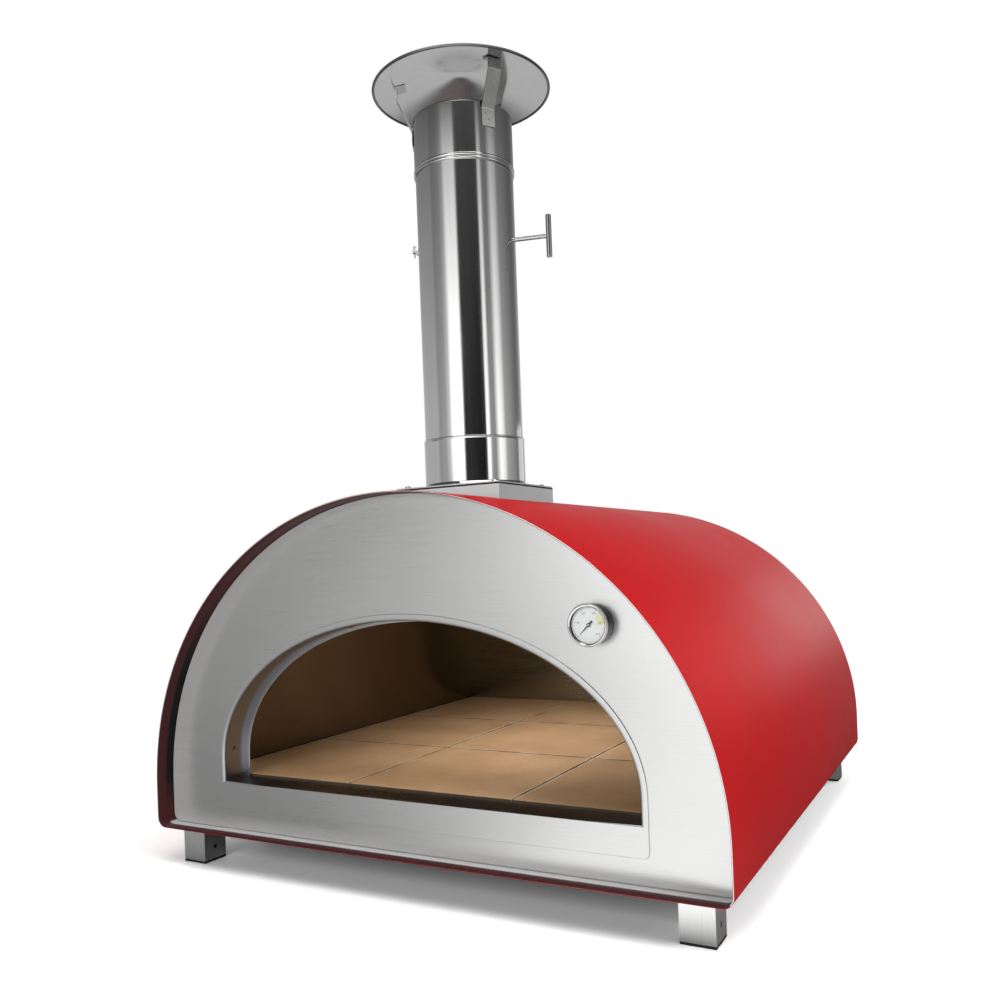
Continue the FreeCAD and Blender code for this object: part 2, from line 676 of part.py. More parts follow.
def gauge_stem():
    """Threaded shank and sheath of the probe, reaching into the chamber."""
    shank = gauge_disc(5.0, GAUGE_STANDOFF, GAUGE_STANDOFF + 12)
    sheath = gauge_disc(3.0, GAUGE_STANDOFF + 12, GAUGE_STANDOFF + STEM_LENGTH)
    return shank.fuse(sheath).cut(gauge_disc(1.2, GAUGE_STANDOFF - 1, GAUGE_STANDOFF + 5))


def gauge_nut():
    start = GAUGE_STANDOFF + SHEET
    return hexagon(17.0, gauge_point(start), gauge_point(start + 5)).cut(gauge_disc(5.0, start - 1, start + 6))


def main():
    os.makedirs("parts", exist_ok=True)
    save("outer_shell", outer_shell())
    save("front_plate", front_plate())
    save("rear_plate", rear_plate())
    save("rear_plate_screws", rear_plate_screws())
    save("mouth_surround", mouth_surround())
    save("door_stop_ring", stop_ring())
    save("mouth_rivets", mouth_rivets())
    save("sill_and_apron", sill())
    save("chamber_vault", vault())
    save("chamber_front_wall", chamber_front_wall())
    save("chamber_rear_wall", chamber_rear_wall())
    save("vault_blanket", vault_blanket())
    save("front_insulation", front_insulation())
    save("rear_insulation", rear_insulation())
    save("floor_tray", floor_tray())
    save("floor_insulation_board", floor_board())
    for row, row_name in enumerate(("front", "middle", "rear")):
        for column, column_name in zip((-1, 0, 1), ("left", "centre", "right")):
            save("floor_tile_%s_%s" % (row_name, column_name), floor_tile(column, row))
    save("chassis_rail_left", chassis_rail(-1))
    save("chassis_rail_right", chassis_rail(1))
    for (x, y), name in zip(LEG_POINTS, ("front_left", "front_right", "rear_left", "rear_right")):
        save("leg_" + name, leg(x, y))
    save("leg_caps", leg_caps())
    save("leg_fixings", leg_fixings())
    save("flue_throat", flue_throat())
    save("flue_box", flue_box())
    save("flue_gasket", flue_gasket())
    save("flue_base_plate", flue_base_plate())
    save("flue_collar", flue_collar())
    save("flue_box_bolts", flue_box_bolts())
    save("flue_pipe", flue_pipe())
    save("damper_plate", damper_plate())
    save("damper_spindle", damper_spindle())
    save("damper_screws", damper_screws())
    save("damper_tee_bar", damper_tee_bar())
    save("damper_washer", damper_washer())
    save("damper_nut", damper_nut())
    save("damper_split_pin", damper_split_pin())
    save("cowl_sleeve", cowl_sleeve())
    save("cowl_cone", cowl_cone())
    for name, angle in STRAP_ANGLES.items():
        save("cowl_strap_" + name, cowl_strap(angle))
    save("thermometer_case", gauge_case())
    save("thermometer_bezel", gauge_bezel())
    save("thermometer_lens", gauge_lens())
    save("thermometer_dial", gauge_dial())
    save("thermometer_pointer", gauge_pointer())
    save("thermometer_stem", gauge_stem())
    save("thermometer_nut", gauge_nut())


main()
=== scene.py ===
"""Countertop pizza oven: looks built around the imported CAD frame. Metres."""
import json
import math

import bmesh
import bpy
from mathutils import Matrix, Vector, noise


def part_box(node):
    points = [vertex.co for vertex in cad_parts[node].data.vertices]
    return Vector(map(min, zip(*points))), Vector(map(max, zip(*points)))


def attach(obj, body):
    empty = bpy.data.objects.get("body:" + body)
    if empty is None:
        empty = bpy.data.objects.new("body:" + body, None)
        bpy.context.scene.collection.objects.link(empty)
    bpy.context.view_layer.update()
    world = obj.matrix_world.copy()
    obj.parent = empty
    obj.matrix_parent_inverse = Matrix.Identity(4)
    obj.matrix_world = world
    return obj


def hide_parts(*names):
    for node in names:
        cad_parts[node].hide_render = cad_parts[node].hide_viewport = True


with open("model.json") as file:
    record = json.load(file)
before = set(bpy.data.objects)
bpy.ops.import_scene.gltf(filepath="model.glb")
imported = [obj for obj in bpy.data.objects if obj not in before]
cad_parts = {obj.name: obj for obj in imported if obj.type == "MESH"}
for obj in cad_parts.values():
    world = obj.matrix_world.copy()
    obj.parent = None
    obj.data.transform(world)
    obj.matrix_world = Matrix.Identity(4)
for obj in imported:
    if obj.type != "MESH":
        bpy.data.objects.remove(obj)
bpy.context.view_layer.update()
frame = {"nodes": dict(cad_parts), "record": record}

MM = 0.001
SHEET = 1.5 * MM

# ---------------------------------------------------------------- frame sizes

SHELL_LOW, SHELL_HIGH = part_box("outer_shell")
PLATE_LOW, PLATE_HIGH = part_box("front_plate")
SURROUND_LOW, SURROUND_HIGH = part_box("mouth_surround")
RING_LOW, RING_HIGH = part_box("door_stop_ring")
SILL_LOW, SILL_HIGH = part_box("sill_and_apron")
PIPE_LOW, PIPE_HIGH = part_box("flue_pipe")
SLEEVE_LOW, SLEEVE_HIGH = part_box("cowl_sleeve")
COLLAR_LOW, COLLAR_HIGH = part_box("flue_collar")
CONE_LOW, CONE_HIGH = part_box("cowl_cone")
GAUGE_LOW, GAUGE_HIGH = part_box("thermometer_bezel")

SHELL_SPRING = 110 * MM       # where the shell's upright sides turn into the arch
SHELL_CORNER = 14 * MM
MOUTH_SPRING = 150 * MM
SURROUND_FLANGE = 9 * MM
STOP_FLANGE = 8 * MM
STOP_FLANGE_CROWN = 3.5 * MM
FLUE = Vector(((PIPE_LOW.x + PIPE_HIGH.x) / 2, (PIPE_LOW.y + PIPE_HIGH.y) / 2, 0))
FLUE_RADIUS = PIPE_HIGH.x
GAUGE = (GAUGE_LOW + GAUGE_HIGH) / 2
TILES_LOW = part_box("floor_tile_front_left")[0]
TILE_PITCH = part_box("floor_tile_front_centre")[0].x - TILES_LOW.x
TILE_ARRIS = 1.6 * MM

CORNER_POINTS = 7             # points round each lower corner of the shell's outline
FLOOR_POINTS = 11             # points along its bottom

# ---------------------------------------------------------------- mesh helpers


def make_object(name, mesh, body, material, replaces=(), smooth_angle=35):
    """A finished piece: shaded, painted and riding on its body."""
    obj = bpy.data.objects.new(name, mesh)
    bpy.context.scene.collection.objects.link(obj)
    mesh.materials.append(material)
    mesh.shade_smooth()
    mesh.set_sharp_from_angle(angle=math.radians(smooth_angle))
    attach(obj, body)
    if replaces:
        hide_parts(*replaces)
    return obj


def mesh_from(bm, name):
    bmesh.ops.remove_doubles(bm, verts=bm.verts, dist=1e-6)
    bmesh.ops.recalc_face_normals(bm, faces=bm.faces)
    mesh = bpy.data.meshes.new(name)
    bm.to_mesh(mesh)
    bm.free()
    return mesh


def skin(rings, name, closed_rings=True, closed_loop=True, caps=False):
    """Quads between successive rings of points. Rings may close round and the loop may close on itself."""
    bm = bmesh.new()
    rows = [[bm.verts.new(p) for p in ring] for ring in rings]
    pairs = list(zip(rows, rows[1:])) + ([(rows[-1], rows[0])] if closed_loop else [])
    for a, b in pairs:
        count = len(a)
        for i in range(count if closed_rings else count - 1):
            j = (i + 1) % count
            bm.faces.new((a[i], a[j], b[j], b[i]))
    if caps and closed_loop:
        for end in (0, -1):
            bm.faces.new([row[end] for row in rows])
    if caps and not closed_loop:
        bm.faces.new(rows[0])
        bm.faces.new(rows[-1])
    return mesh_from(bm, name)


def lathe(profile, name, axis_point, axis="Z", segments=128):
    """Solid of revolution from a closed outline of (radius, height) points."""
    rings = []
    for i in range(segments):
        turn = 2 * math.pi * i / segments
        ring = []
        for radius, height in profile:
            across, up = radius * math.cos(turn), radius * math.sin(turn)
            if axis == "Z":
                ring.append(axis_point + Vector((across, up, height)))
            else:
                ring.append(axis_point + Vector((across, height, up)))
        rings.append(ring)
    return skin(rings, name)


def round_corners(points, radius, steps=4):
    """A closed outline with each corner rounded to radius, or to its own where radius is a list."""
    rounded = []
    count = len(points)
    for i, point in enumerate(points):
        r = radius[i] if isinstance(radius, (list, tuple)) else radius
        p = Vector(point)
        before, after = Vector(points[i - 1]) - p, Vector(points[(i + 1) % count]) - p
        angle = before.angle(after)
        if r <= 0 or angle > math.pi - 0.02:
            rounded.append(tuple(p))
            continue
        reach = min(r / math.tan(angle / 2), 0.49 * before.length, 0.49 * after.length)
        start, end = p + before.normalized() * reach, p + after.normalized() * reach
        for k in range(steps + 1):
            t = k / steps
            rounded.append(tuple((1 - t) ** 2 * start + 2 * t * (1 - t) * p + t ** 2 * end))
    return rounded


def arch_points(half, rise, spring, bottom, corner=0.0, steps=48, feet_only=False):
    """Arch outline as (x, z): up the right side, over the top, down the left, and along the bottom."""
    points = []
    if corner:
        for k in range(CORNER_POINTS):
            a = -math.pi / 2 + k * math.pi / (2 * CORNER_POINTS - 2)
            points.append((half - corner + corner * math.cos(a), bottom + corner + corner * math.sin(a)))
    else:
        points.append((half, bottom))
    for k in range(2 * steps + 1):
        a = math.pi * k / (2 * steps)
        points.append((half * math.cos(a), spring + rise * math.sin(a)))
    points += [(-x, z) for x, z in reversed(points[:CORNER_POINTS if corner else 1])]
    if feet_only:
        return points
    for k in range(1, FLOOR_POINTS + 1):
        points.append((-half + corner + (half - corner) * 2 * k / (FLOOR_POINTS + 1), bottom))
    return points


def arch_ring(outline, y):
    return [Vector((x, y, z)) for x, z in outline]


def shell_outline(inset):
    half, top = SHELL_HIGH.x - inset, SHELL_HIGH.z - inset
    return arch_points(half, top - SHELL_SPRING, SHELL_SPRING, SHELL_LOW.z + inset, SHELL_CORNER - inset)


def mouth_outline(growth, feet_only=True):
    half = SURROUND_HIGH.x - SURROUND_FLANGE + growth
    rise = SURROUND_HIGH.z - SURROUND_FLANGE + growth - MOUTH_SPRING
    return arch_points(half, rise, MOUTH_SPRING, SILL_HIGH.z, feet_only=feet_only)


def sweep_mouth(section, name):
    """A closed (growth, y) section carried round the mouth's arch, capped at its feet."""
    return skin([arch_ring(mouth_outline(growth), y) for growth, y in section], name,
                closed_rings=False, caps=True)


def narrowed(outline_out, outline_in, share):
    """Part of the way from one mouth outline to another."""
    return [((1 - share) * a + share * c, (1 - share) * b + share * d)
            for (a, b), (c, d) in zip(outline_out, outline_in)]


def divided_block(low, high, bevel, segments, cuts):
    """Finely divided box with its edges rounded over."""
    bm = bmesh.new()
    bmesh.ops.create_cube(bm, size=1)
    for v in bm.verts:
        v.co = Vector(low[i] + (v.co[i] + 0.5) * (high[i] - low[i]) for i in range(3))
    bmesh.ops.subdivide_edges(bm, edges=bm.edges, cuts=cuts, use_grid_fill=True)
    edges = [e for e in bm.edges if len(e.link_faces) == 2 and e.calc_face_angle() > 1]
    bmesh.ops.bevel(bm, geom=edges, offset=bevel, segments=segments, affect="EDGES", profile=0.6)
    return bm


# ---------------------------------------------------------------- materials


def add_node(tree, kind, inputs=None, **settings):
    node = tree.nodes.new(kind)
    for key, value in settings.items():
        setattr(node, key, value)
    for key, value in (inputs or {}).items():
        if isinstance(value, bpy.types.NodeSocket):
            tree.links.new(value, node.inputs[key])
        else:
            node.inputs[key].default_value = value
    return node


def calc(tree, operation, a, b):
    """One sum on two values."""
    return add_node(tree, "ShaderNodeMath", {0: a, 1: b}, operation=operation).outputs[0]


def blend(tree, share, a, b):
    """Colour part of the way from a to b."""
    return add_node(tree, "ShaderNodeMix", {"Factor": share, "A": a, "B": b},
                    data_type="RGBA").outputs["Result"]


def object_place(tree):
    return add_node(tree, "ShaderNodeTexCoord").outputs["Object"]


def axes_of(tree, vector):
    return add_node(tree, "ShaderNodeSeparateXYZ", {"Vector": vector}).outputs


def facing_axes(tree):
    return axes_of(tree, add_node(tree, "ShaderNodeTexCoord").outputs["Normal"])


def new_material(name, colour, metallic, roughness, **sockets):
    material = bpy.data.materials.new(name)
    material.use_nodes = True
    tree = material.node_tree
    shader = tree.nodes["Principled BSDF"]
    shader.inputs["Base Color"].default_value = (*colour, 1)
    shader.inputs["Metallic"].default_value = metallic
    shader.inputs["Roughness"].default_value = roughness
    for socket, value in sockets.items():
        shader.inputs[socket.replace("_", " ")].default_value = value
    return material, tree, shader


def stretched_noise(tree, scale, detail=3.0, roughness=0.55):
    """Noise in the row's own coordinates, scaled per axis in features per metre."""
    stretched = add_node(tree, "ShaderNodeMapping", {"Vector": object_place(tree), "Scale": scale})
    return add_node(tree, "ShaderNodeTexNoise", {
        "Vector": stretched.outputs["Vector"], "Scale": 1.0, "Detail": detail,
        "Roughness": roughness}).outputs["Fac"]


def spread(tree, value, low, high, from_low=0.3, from_high=0.7):
    return add_node(tree, "ShaderNodeMapRange", {
        "Value": value, "From Min": from_low, "From Max": from_high,
        "To Min": low, "To Max": high}).outputs["Result"]


def tint(tree, value, dark, light):
    ramp = add_node(tree, "ShaderNodeValToRGB", {"Fac": value})
    ramp.color_ramp.elements[0].position = 0.3
    ramp.color_ramp.elements[1].position = 0.7
    ramp.color_ramp.elements[0].color = (*dark, 1)
    ramp.color_ramp.elements[1].color = (*light, 1)
    return ramp.outputs["Color"]


def connect_bump(tree, shader, height, strength, distance):
    bump = add_node(tree, "ShaderNodeBump", {
        "Height": height, "Strength": strength, "Distance": distance})
    tree.links.new(bump.outputs["Normal"], shader.inputs["Normal"])
    return bump


def steel(name, colour, roughness, grain, smudge=0.06, ripple=0.0, bump=0.2, shade_from=None, shade_tone=None,
          shade_axis="Y", shade_run=2 * MM):
    """Stainless sheet: grain is the noise scale per axis, smudge its uneven gloss, ripple its waviness.

    Past a start point along an axis the metal is painted a darker tone over a given run: painted shade.
    """
    material, tree, shader = new_material(name, colour, 1.0, roughness)
    fine = stretched_noise(tree, grain, detail=4)
    broad = stretched_noise(tree, (5, 5, 5), detail=4)
    uneven = calc(tree, "ADD", spread(tree, fine, roughness - 0.04, roughness + 0.05),
                  spread(tree, broad, -smudge / 2, smudge))
    tree.links.new(uneven, shader.inputs["Roughness"])
    finish = tint(tree, fine, [c * 0.95 for c in colour], [min(1.0, c * 1.03) for c in colour])
    # Painted shade: past the start the metal turns darker.
    if shade_tone:
        along = axes_of(tree, object_place(tree))[shade_axis]
        finish = blend(tree, spread(tree, along, 0.0, 1.0, shade_from, shade_from + shade_run), finish,
                       (*shade_tone, 1))
    tree.links.new(finish, shader.inputs["Base Color"])
    detail = connect_bump(tree, shader, fine, bump, 0.02 * MM)
    if ripple:
        waves = stretched_noise(tree, (14, 9, 14), detail=1)
        wave_bump = add_node(tree, "ShaderNodeBump", {
            "Height": waves, "Strength": 1.0, "Distance": ripple})
        tree.links.new(wave_bump.outputs["Normal"], detail.inputs["Normal"])
    return material


def powder_coat(name, colour):
    """Satin powder coat; painted shade darkens it on its inner faces inside the front lip, and primer only
    underneath.

    In gloss rays it is painted a neutral grey, and near white on its inner faces: painted reflections.
    """
    # Painted shade: the coat turns dark maroon on the shell's inner faces, seen inside the front lip.
    painted_lip_shade, primer = (0.07, 0.018, 0.018, 1), (0.06, 0.06, 0.06, 1)
    # Painted shadow (black) up the lip's sides and painted highlight (pale) along its bottom, beside the
    # plate.
    painted_lip_shadow, painted_lip_highlight = (0.006, 0.006, 0.006, 1), (0.74, 0.73, 0.725, 1)
    # Painted reflections: the coat's colours as gloss rays see them.
    painted_reflection_grey, painted_reflection_lip = (0.20, 0.195, 0.195, 1), (0.90, 0.89, 0.89, 1)
    shell_middle = 0.2
    material, tree, shader = new_material(name, colour, 0.0, 0.36, Specular_IOR_Level=0.14)
    peel = stretched_noise(tree, (900, 900, 900), detail=2)
    broad = stretched_noise(tree, (4, 4, 4), detail=3)
    outside = tint(tree, broad, [c * 0.93 for c in colour], [c * 1.06 for c in colour])
    facing = facing_axes(tree)
    spot = axes_of(tree, object_place(tree))
    lift = calc(tree, "ADD", spot["Z"], -shell_middle)
    outwards = calc(tree, "ADD", calc(tree, "MULTIPLY", spot["X"], facing["X"]),
                    calc(tree, "MULTIPLY", lift, facing["Z"]))
    not_rear = spread(tree, facing["Y"], 1.0, 0.0, 0.5, 0.8)
    inside = calc(tree, "MULTIPLY", spread(tree, outwards, 1.0, 0.0, 0.0, 0.05), not_rear)
    # Painted shade on the inner faces.
    painted_lip_coat = blend(tree, inside, outside, painted_lip_shade)
    # Against the front plate the lip is painted black up its sides, a painted shadow, and pale along the
    # bottom, a painted highlight.
    beside = spread(tree, spot["Y"], 0.0, 1.0, PLATE_LOW.y - 13 * MM, PLATE_LOW.y - 10 * MM)
    at_front = spread(tree, spot["Y"], 1.0, 0.0, -0.30, -0.25)
    sides = calc(tree, "MULTIPLY", spread(tree, spot["Z"], 0.0, 1.0, 75 * MM, 120 * MM),
                 spread(tree, spot["Z"], 1.0, 0.0, 280 * MM, 400 * MM))
    bottom = spread(tree, spot["Z"], 1.0, 0.0, SHELL_LOW.z + 3 * MM, SHELL_LOW.z + 5 * MM)
    for share, painted_strip in ((sides, painted_lip_shadow), (bottom, painted_lip_highlight)):
        for limit in (beside, at_front, inside):
            share = calc(tree, "MULTIPLY", share, limit)
        painted_lip_coat = blend(tree, share, painted_lip_coat, painted_strip)
    downward = spread(tree, facing["Z"], 1.0, 0.0, -0.99, -0.94)
    lowest = spread(tree, spot["Z"], 1.0, 0.0, SHELL_LOW.z + 1 * MM, SHELL_LOW.z + 1.4 * MM)
    coat = blend(tree, calc(tree, "MULTIPLY", downward, lowest), painted_lip_coat, primer)
    # Painted reflection: gloss rays see the coat grey and its inner faces near white.
    painted_reflection_share = calc(tree, "MULTIPLY", add_node(tree, "ShaderNodeLightPath").outputs["Is Glossy Ray"], 0.9)
    shown = blend(tree, painted_reflection_share, coat, blend(tree, inside, painted_reflection_grey, painted_reflection_lip))
    tree.links.new(shown, shader.inputs["Base Color"])
    tree.links.new(spread(tree, broad, 0.33, 0.41), shader.inputs["Roughness"])
    connect_bump(tree, shader, peel, 0.12, 0.05 * MM)
    return material


def fire_clay(name):
    """Buff clay: cloudy tone, fine grit, iron specks, soot in the joints, a painted highlight in patches
    along the arrises, and painted shade on the front faces of the front row.
    """
    grit_brown, iron, joint_soot = (0.38, 0.23, 0.13, 1), (0.14, 0.07, 0.04, 1), (0.06, 0.028, 0.012, 1)
    # Painted highlight (pale) for the arrises, painted shade (near black) for the front faces.
    painted_edge_highlight, painted_front_shade = (0.84, 0.66, 0.45, 1), (0.045, 0.043, 0.042, 1)
    front_strip = 0.02
    material, tree, shader = new_material(name, (0.56, 0.37, 0.22), 0.0, 0.88)
    clouds = stretched_noise(tree, (7, 7, 7), detail=5, roughness=0.6)
    grit = stretched_noise(tree, (420, 420, 420), detail=3, roughness=0.7)
    place = object_place(tree)
    from_corner = add_node(tree, "ShaderNodeVectorMath", {
        0: place, 1: (TILES_LOW.x, TILES_LOW.y, 0)}, operation="SUBTRACT")
    cell = add_node(tree, "ShaderNodeVectorMath", {
        0: from_corner.outputs["Vector"], 1: (TILE_PITCH, TILE_PITCH, 1)}, operation="DIVIDE")
    whole = add_node(tree, "ShaderNodeVectorMath", {0: cell.outputs["Vector"]}, operation="FLOOR")
    batch = add_node(tree, "ShaderNodeTexWhiteNoise", {"Vector": whole.outputs["Vector"]})
    mixed = tint(tree, clouds, (0.58, 0.335, 0.16), (0.80, 0.50, 0.265))
    ground = add_node(tree, "ShaderNodeVectorMath", {
        0: mixed, "Scale": spread(tree, batch.outputs["Value"], 0.86, 1.08, 0.0, 1.0)},
        operation="SCALE").outputs["Vector"]
    clay = blend(tree, spread(tree, grit, 0.0, 0.4, 0.45, 0.75), ground, grit_brown)
    specks = add_node(tree, "ShaderNodeTexVoronoi", {"Vector": place, "Scale": 55.0})
    clay = blend(tree, spread(tree, specks.outputs["Distance"], 0.8, 0.0, 0.03, 0.06), clay, iron)
    axes = axes_of(tree, place)
    gaps = []
    for axis, start in (("X", TILES_LOW.x), ("Y", TILES_LOW.y)):
        gaps.append(calc(tree, "PINGPONG", calc(tree, "ADD", axes[axis], -start), TILE_PITCH / 2))
    at_front = calc(tree, "LESS_THAN", axes["Y"], TILES_LOW.y + front_strip)
    nearest = calc(tree, "MINIMUM", gaps[0], calc(tree, "ADD", gaps[1], at_front))
    edge = calc(tree, "ADD", nearest, spread(tree, clouds, -0.6 * MM, 0.9 * MM))
    clay = blend(tree, spread(tree, edge, 0.85, 0.0, 0.8 * MM, 3.2 * MM), clay, joint_soot)
    # Painted highlight: a pale band just in from each tile edge, in patches.
    edge_highlight_band = calc(tree, "MULTIPLY", spread(tree, edge, 0.0, 1.0, 1.6 * MM, 2.6 * MM),
                spread(tree, edge, 0.9, 0.0, 3.6 * MM, 6.5 * MM))
    patches = spread(tree, stretched_noise(tree, (26, 26, 26), detail=4), 0.0, 1.0, 0.38, 0.56)
    clay = blend(tree, calc(tree, "MULTIPLY", edge_highlight_band, patches), clay, painted_edge_highlight)
    # Painted shade: the front faces of the front row turn near black.
    forward = spread(tree, facing_axes(tree)["Y"], 0.92, 0.0, -0.95, -0.70)
    clay = blend(tree, calc(tree, "MULTIPLY", forward, at_front), clay, painted_front_shade)
    tree.links.new(clay, shader.inputs["Base Color"])
    connect_bump(tree, shader, grit, 0.5, 0.25 * MM)
    return material


def plain(name, colour, metallic, roughness, grain=600, depth=0.03, variation=0.12):
    """Small parts: a colour that wanders a little, and a fine moulded or cast texture."""
    material, tree, shader = new_material(name, colour, metallic, roughness)
    fine = stretched_noise(tree, (grain, grain, grain), detail=3)
    broad = stretched_noise(tree, (30, 30, 30), detail=3)
    tree.links.new(tint(tree, broad, [c * (1 - variation) for c in colour],
                        [min(1, c * (1 + variation)) for c in colour]), shader.inputs["Base Color"])
    tree.links.new(spread(tree, fine, roughness * 0.85, min(1.0, roughness * 1.15)),
                   shader.inputs["Roughness"])
    connect_bump(tree, shader, fine, 0.3, depth * MM)
    return material


def clear_glass(name):
    """Flat glass: see-through, with a reflection that grows towards grazing."""
    material = bpy.data.materials.new(name)
    material.use_nodes = True
    tree = material.node_tree
    tree.nodes.clear()
    smear = stretched_noise(tree, (60, 60, 60), detail=3)
    gloss = add_node(tree, "ShaderNodeBsdfGlossy", {"Roughness": spread(tree, smear, 0.02, 0.06)})
    through = add_node(tree, "ShaderNodeBsdfTransparent", {"Color": (0.97, 0.98, 0.98, 1)})
    mix = add_node(tree, "ShaderNodeMixShader", {
        0: add_node(tree, "ShaderNodeFresnel", {"IOR": 1.45}).outputs[0],
        1: through.outputs[0], 2: gloss.outputs[0]})
    add_node(tree, "ShaderNodeOutputMaterial", {"Surface": mix.outputs[0]})
    return material


RED = powder_coat("red_powder_coat", (0.58, 0.009, 0.012))
FRONT = steel("front_brushed_steel", (0.66, 0.66, 0.655), 0.30, (12, 12, 1500), smudge=0.03, bump=0.10)
LEG = steel("leg_brushed_steel", (0.90, 0.90, 0.89), 0.34, (900, 900, 25))
# Painted shade: the sill darkens behind its front edge.
SILL = steel("sill_steel", (0.66, 0.66, 0.655), 0.30, (12, 12, 1500), smudge=0.03, bump=0.10,
             shade_from=SILL_LOW.y + 1 * MM, shade_tone=(0.40, 0.40, 0.41))
# Painted shade: the stop ring darkens across its right half.
RING = steel("stop_ring_steel", (0.60, 0.60, 0.60), 0.34, (12, 12, 1500), smudge=0.03, bump=0.10,
             shade_from=0.0, shade_tone=(0.20, 0.205, 0.215), shade_axis="X", shade_run=0.2)
# Painted shade: the reveal darkens behind its front flange.
REVEAL = steel("mouth_steel", (0.66, 0.66, 0.655), 0.30, (12, 12, 1500), smudge=0.03, bump=0.10,
               shade_from=SURROUND_LOW.y + 0.3 * MM, shade_tone=(0.38, 0.41, 0.45))
CHAMBER = steel("chamber_heat_tinted_steel", (0.28, 0.243, 0.20), 0.17, (20, 300, 300),
                smudge=0.08, ripple=0.5 * MM, bump=0.1)
REAR_WALL = steel("chamber_rear_steel", (0.46, 0.445, 0.385), 0.20, (20, 300, 300), smudge=0.08, bump=0.1)
BRIGHT = steel("bright_flue_steel", (0.72, 0.72, 0.715), 0.075, (300, 300, 6), smudge=0.03, bump=0.05)
CONE = steel("spun_cone_steel", (0.72, 0.72, 0.72), 0.13, (60, 60, 60), smudge=0.03, bump=0.02)
SATIN = steel("satin_box_steel", (0.94, 0.94, 0.935), 0.42, (12, 12, 1200), smudge=0.03, bump=0.1)
# Bare metal: the pointer cap, and the strip on the shell's front rim that serves as a painted highlight.
BARE_METAL_RIM_HIGHLIGHT = plain("bare_metal_rim_highlight", (0.74, 0.74, 0.73), 1.0, 0.28)
FIXING = plain("fixing_steel", (0.55, 0.55, 0.54), 1.0, 0.28)
DULL_RIVET = plain("heat_dulled_rivet", (0.16, 0.155, 0.15), 1.0, 0.35)
ROD = steel("drawn_rod_steel", (0.50, 0.50, 0.50), 0.16, (400, 400, 400), smudge=0.02, bump=0.05)
ROLLED_EDGE = plain("rolled_edge_steel", (0.22, 0.22, 0.22), 1.0, 0.3)
CLAY = fire_clay("fire_clay")
BLACK = plain("black_plastic", (0.012, 0.012, 0.013), 0.0, 0.55)
FRAME_PAINT = plain("black_frame_paint", (0.02, 0.02, 0.02), 0.0, 0.5)
FIBRE = plain("ceramic_fibre", (0.72, 0.70, 0.64), 0.0, 0.95, grain=300, depth=0.4)
GASKET = plain("graphite_gasket", (0.02, 0.02, 0.021), 0.0, 0.8)
BOARD = plain("sooted_insulation_board", (0.11, 0.075, 0.05), 0.0, 0.95, grain=200, depth=0.3)
CHROME = plain("gauge_chrome", (0.78, 0.78, 0.78), 1.0, 0.07, depth=0.002, variation=0.03)
# Painted shade: the thermometer case is made near black for the dark crescent at its side.
SHADE_BLACK_CASE = plain("gauge_case_painted_shade", (0.012, 0.012, 0.013), 0.0, 0.30, depth=0.004, variation=0.1)
DIAL = plain("dial_lacquer", (0.97, 0.97, 0.965), 0.0, 0.4, depth=0.005, variation=0.02)
PRINT = plain("dial_print", (0.03, 0.03, 0.03), 0.0, 0.5, depth=0.005)
FAINT = plain("faint_dial_print", (0.30, 0.30, 0.30), 0.0, 0.5, depth=0.005)
ZONE = plain("dial_zone", (0.90, 0.84, 0.45), 0.0, 0.5, depth=0.005)
GLASS = clear_glass("gauge_glass")
# Painted light: the dial and its yellow zone glow a little, to keep them white behind the glass.
PAINTED_DIAL_LIGHT = 0.12              # keeps the dial's white clear behind its glass
for face in (DIAL, ZONE):
    sockets = face.node_tree.nodes["Principled BSDF"].inputs
    sockets["Emission Color"].default_value = (1, 1, 0.97, 1)
    sockets["Emission Strength"].default_value = PAINTED_DIAL_LIGHT

SLOT_MATERIALS = {
    "shell_enamel": RED, "front_steel": FRONT, "rear_steel": RED, "chamber_steel": CHAMBER,
    "fixing_steel": FIXING, "fibre_blanket": FIBRE, "insulation_board": BOARD,
    "frame_steel": FRAME_PAINT, "fire_clay": CLAY, "leg_steel": LEG, "black_plastic": BLACK,
    "flue_steel": BRIGHT, "box_steel": SATIN, "damper_steel": ROD, "gauge_chrome": CHROME,
    "gauge_glass": GLASS, "dial_white": DIAL, "pointer_black": PRINT, "stem_steel": FIXING}

for subpart in frame["record"]["subparts"]:
    node = frame["nodes"][subpart["node"]]
    node.data.materials.clear()
    node.data.materials.append(SLOT_MATERIALS[subpart["material_slot"]])
frame["nodes"]["flue_gasket"].data.materials[0] = GASKET
frame["nodes"]["mouth_rivets"].data.materials[0] = DULL_RIVET
frame["nodes"]["chamber_rear_wall"].data.materials[0] = REAR_WALL

# ---------------------------------------------------------------- casing


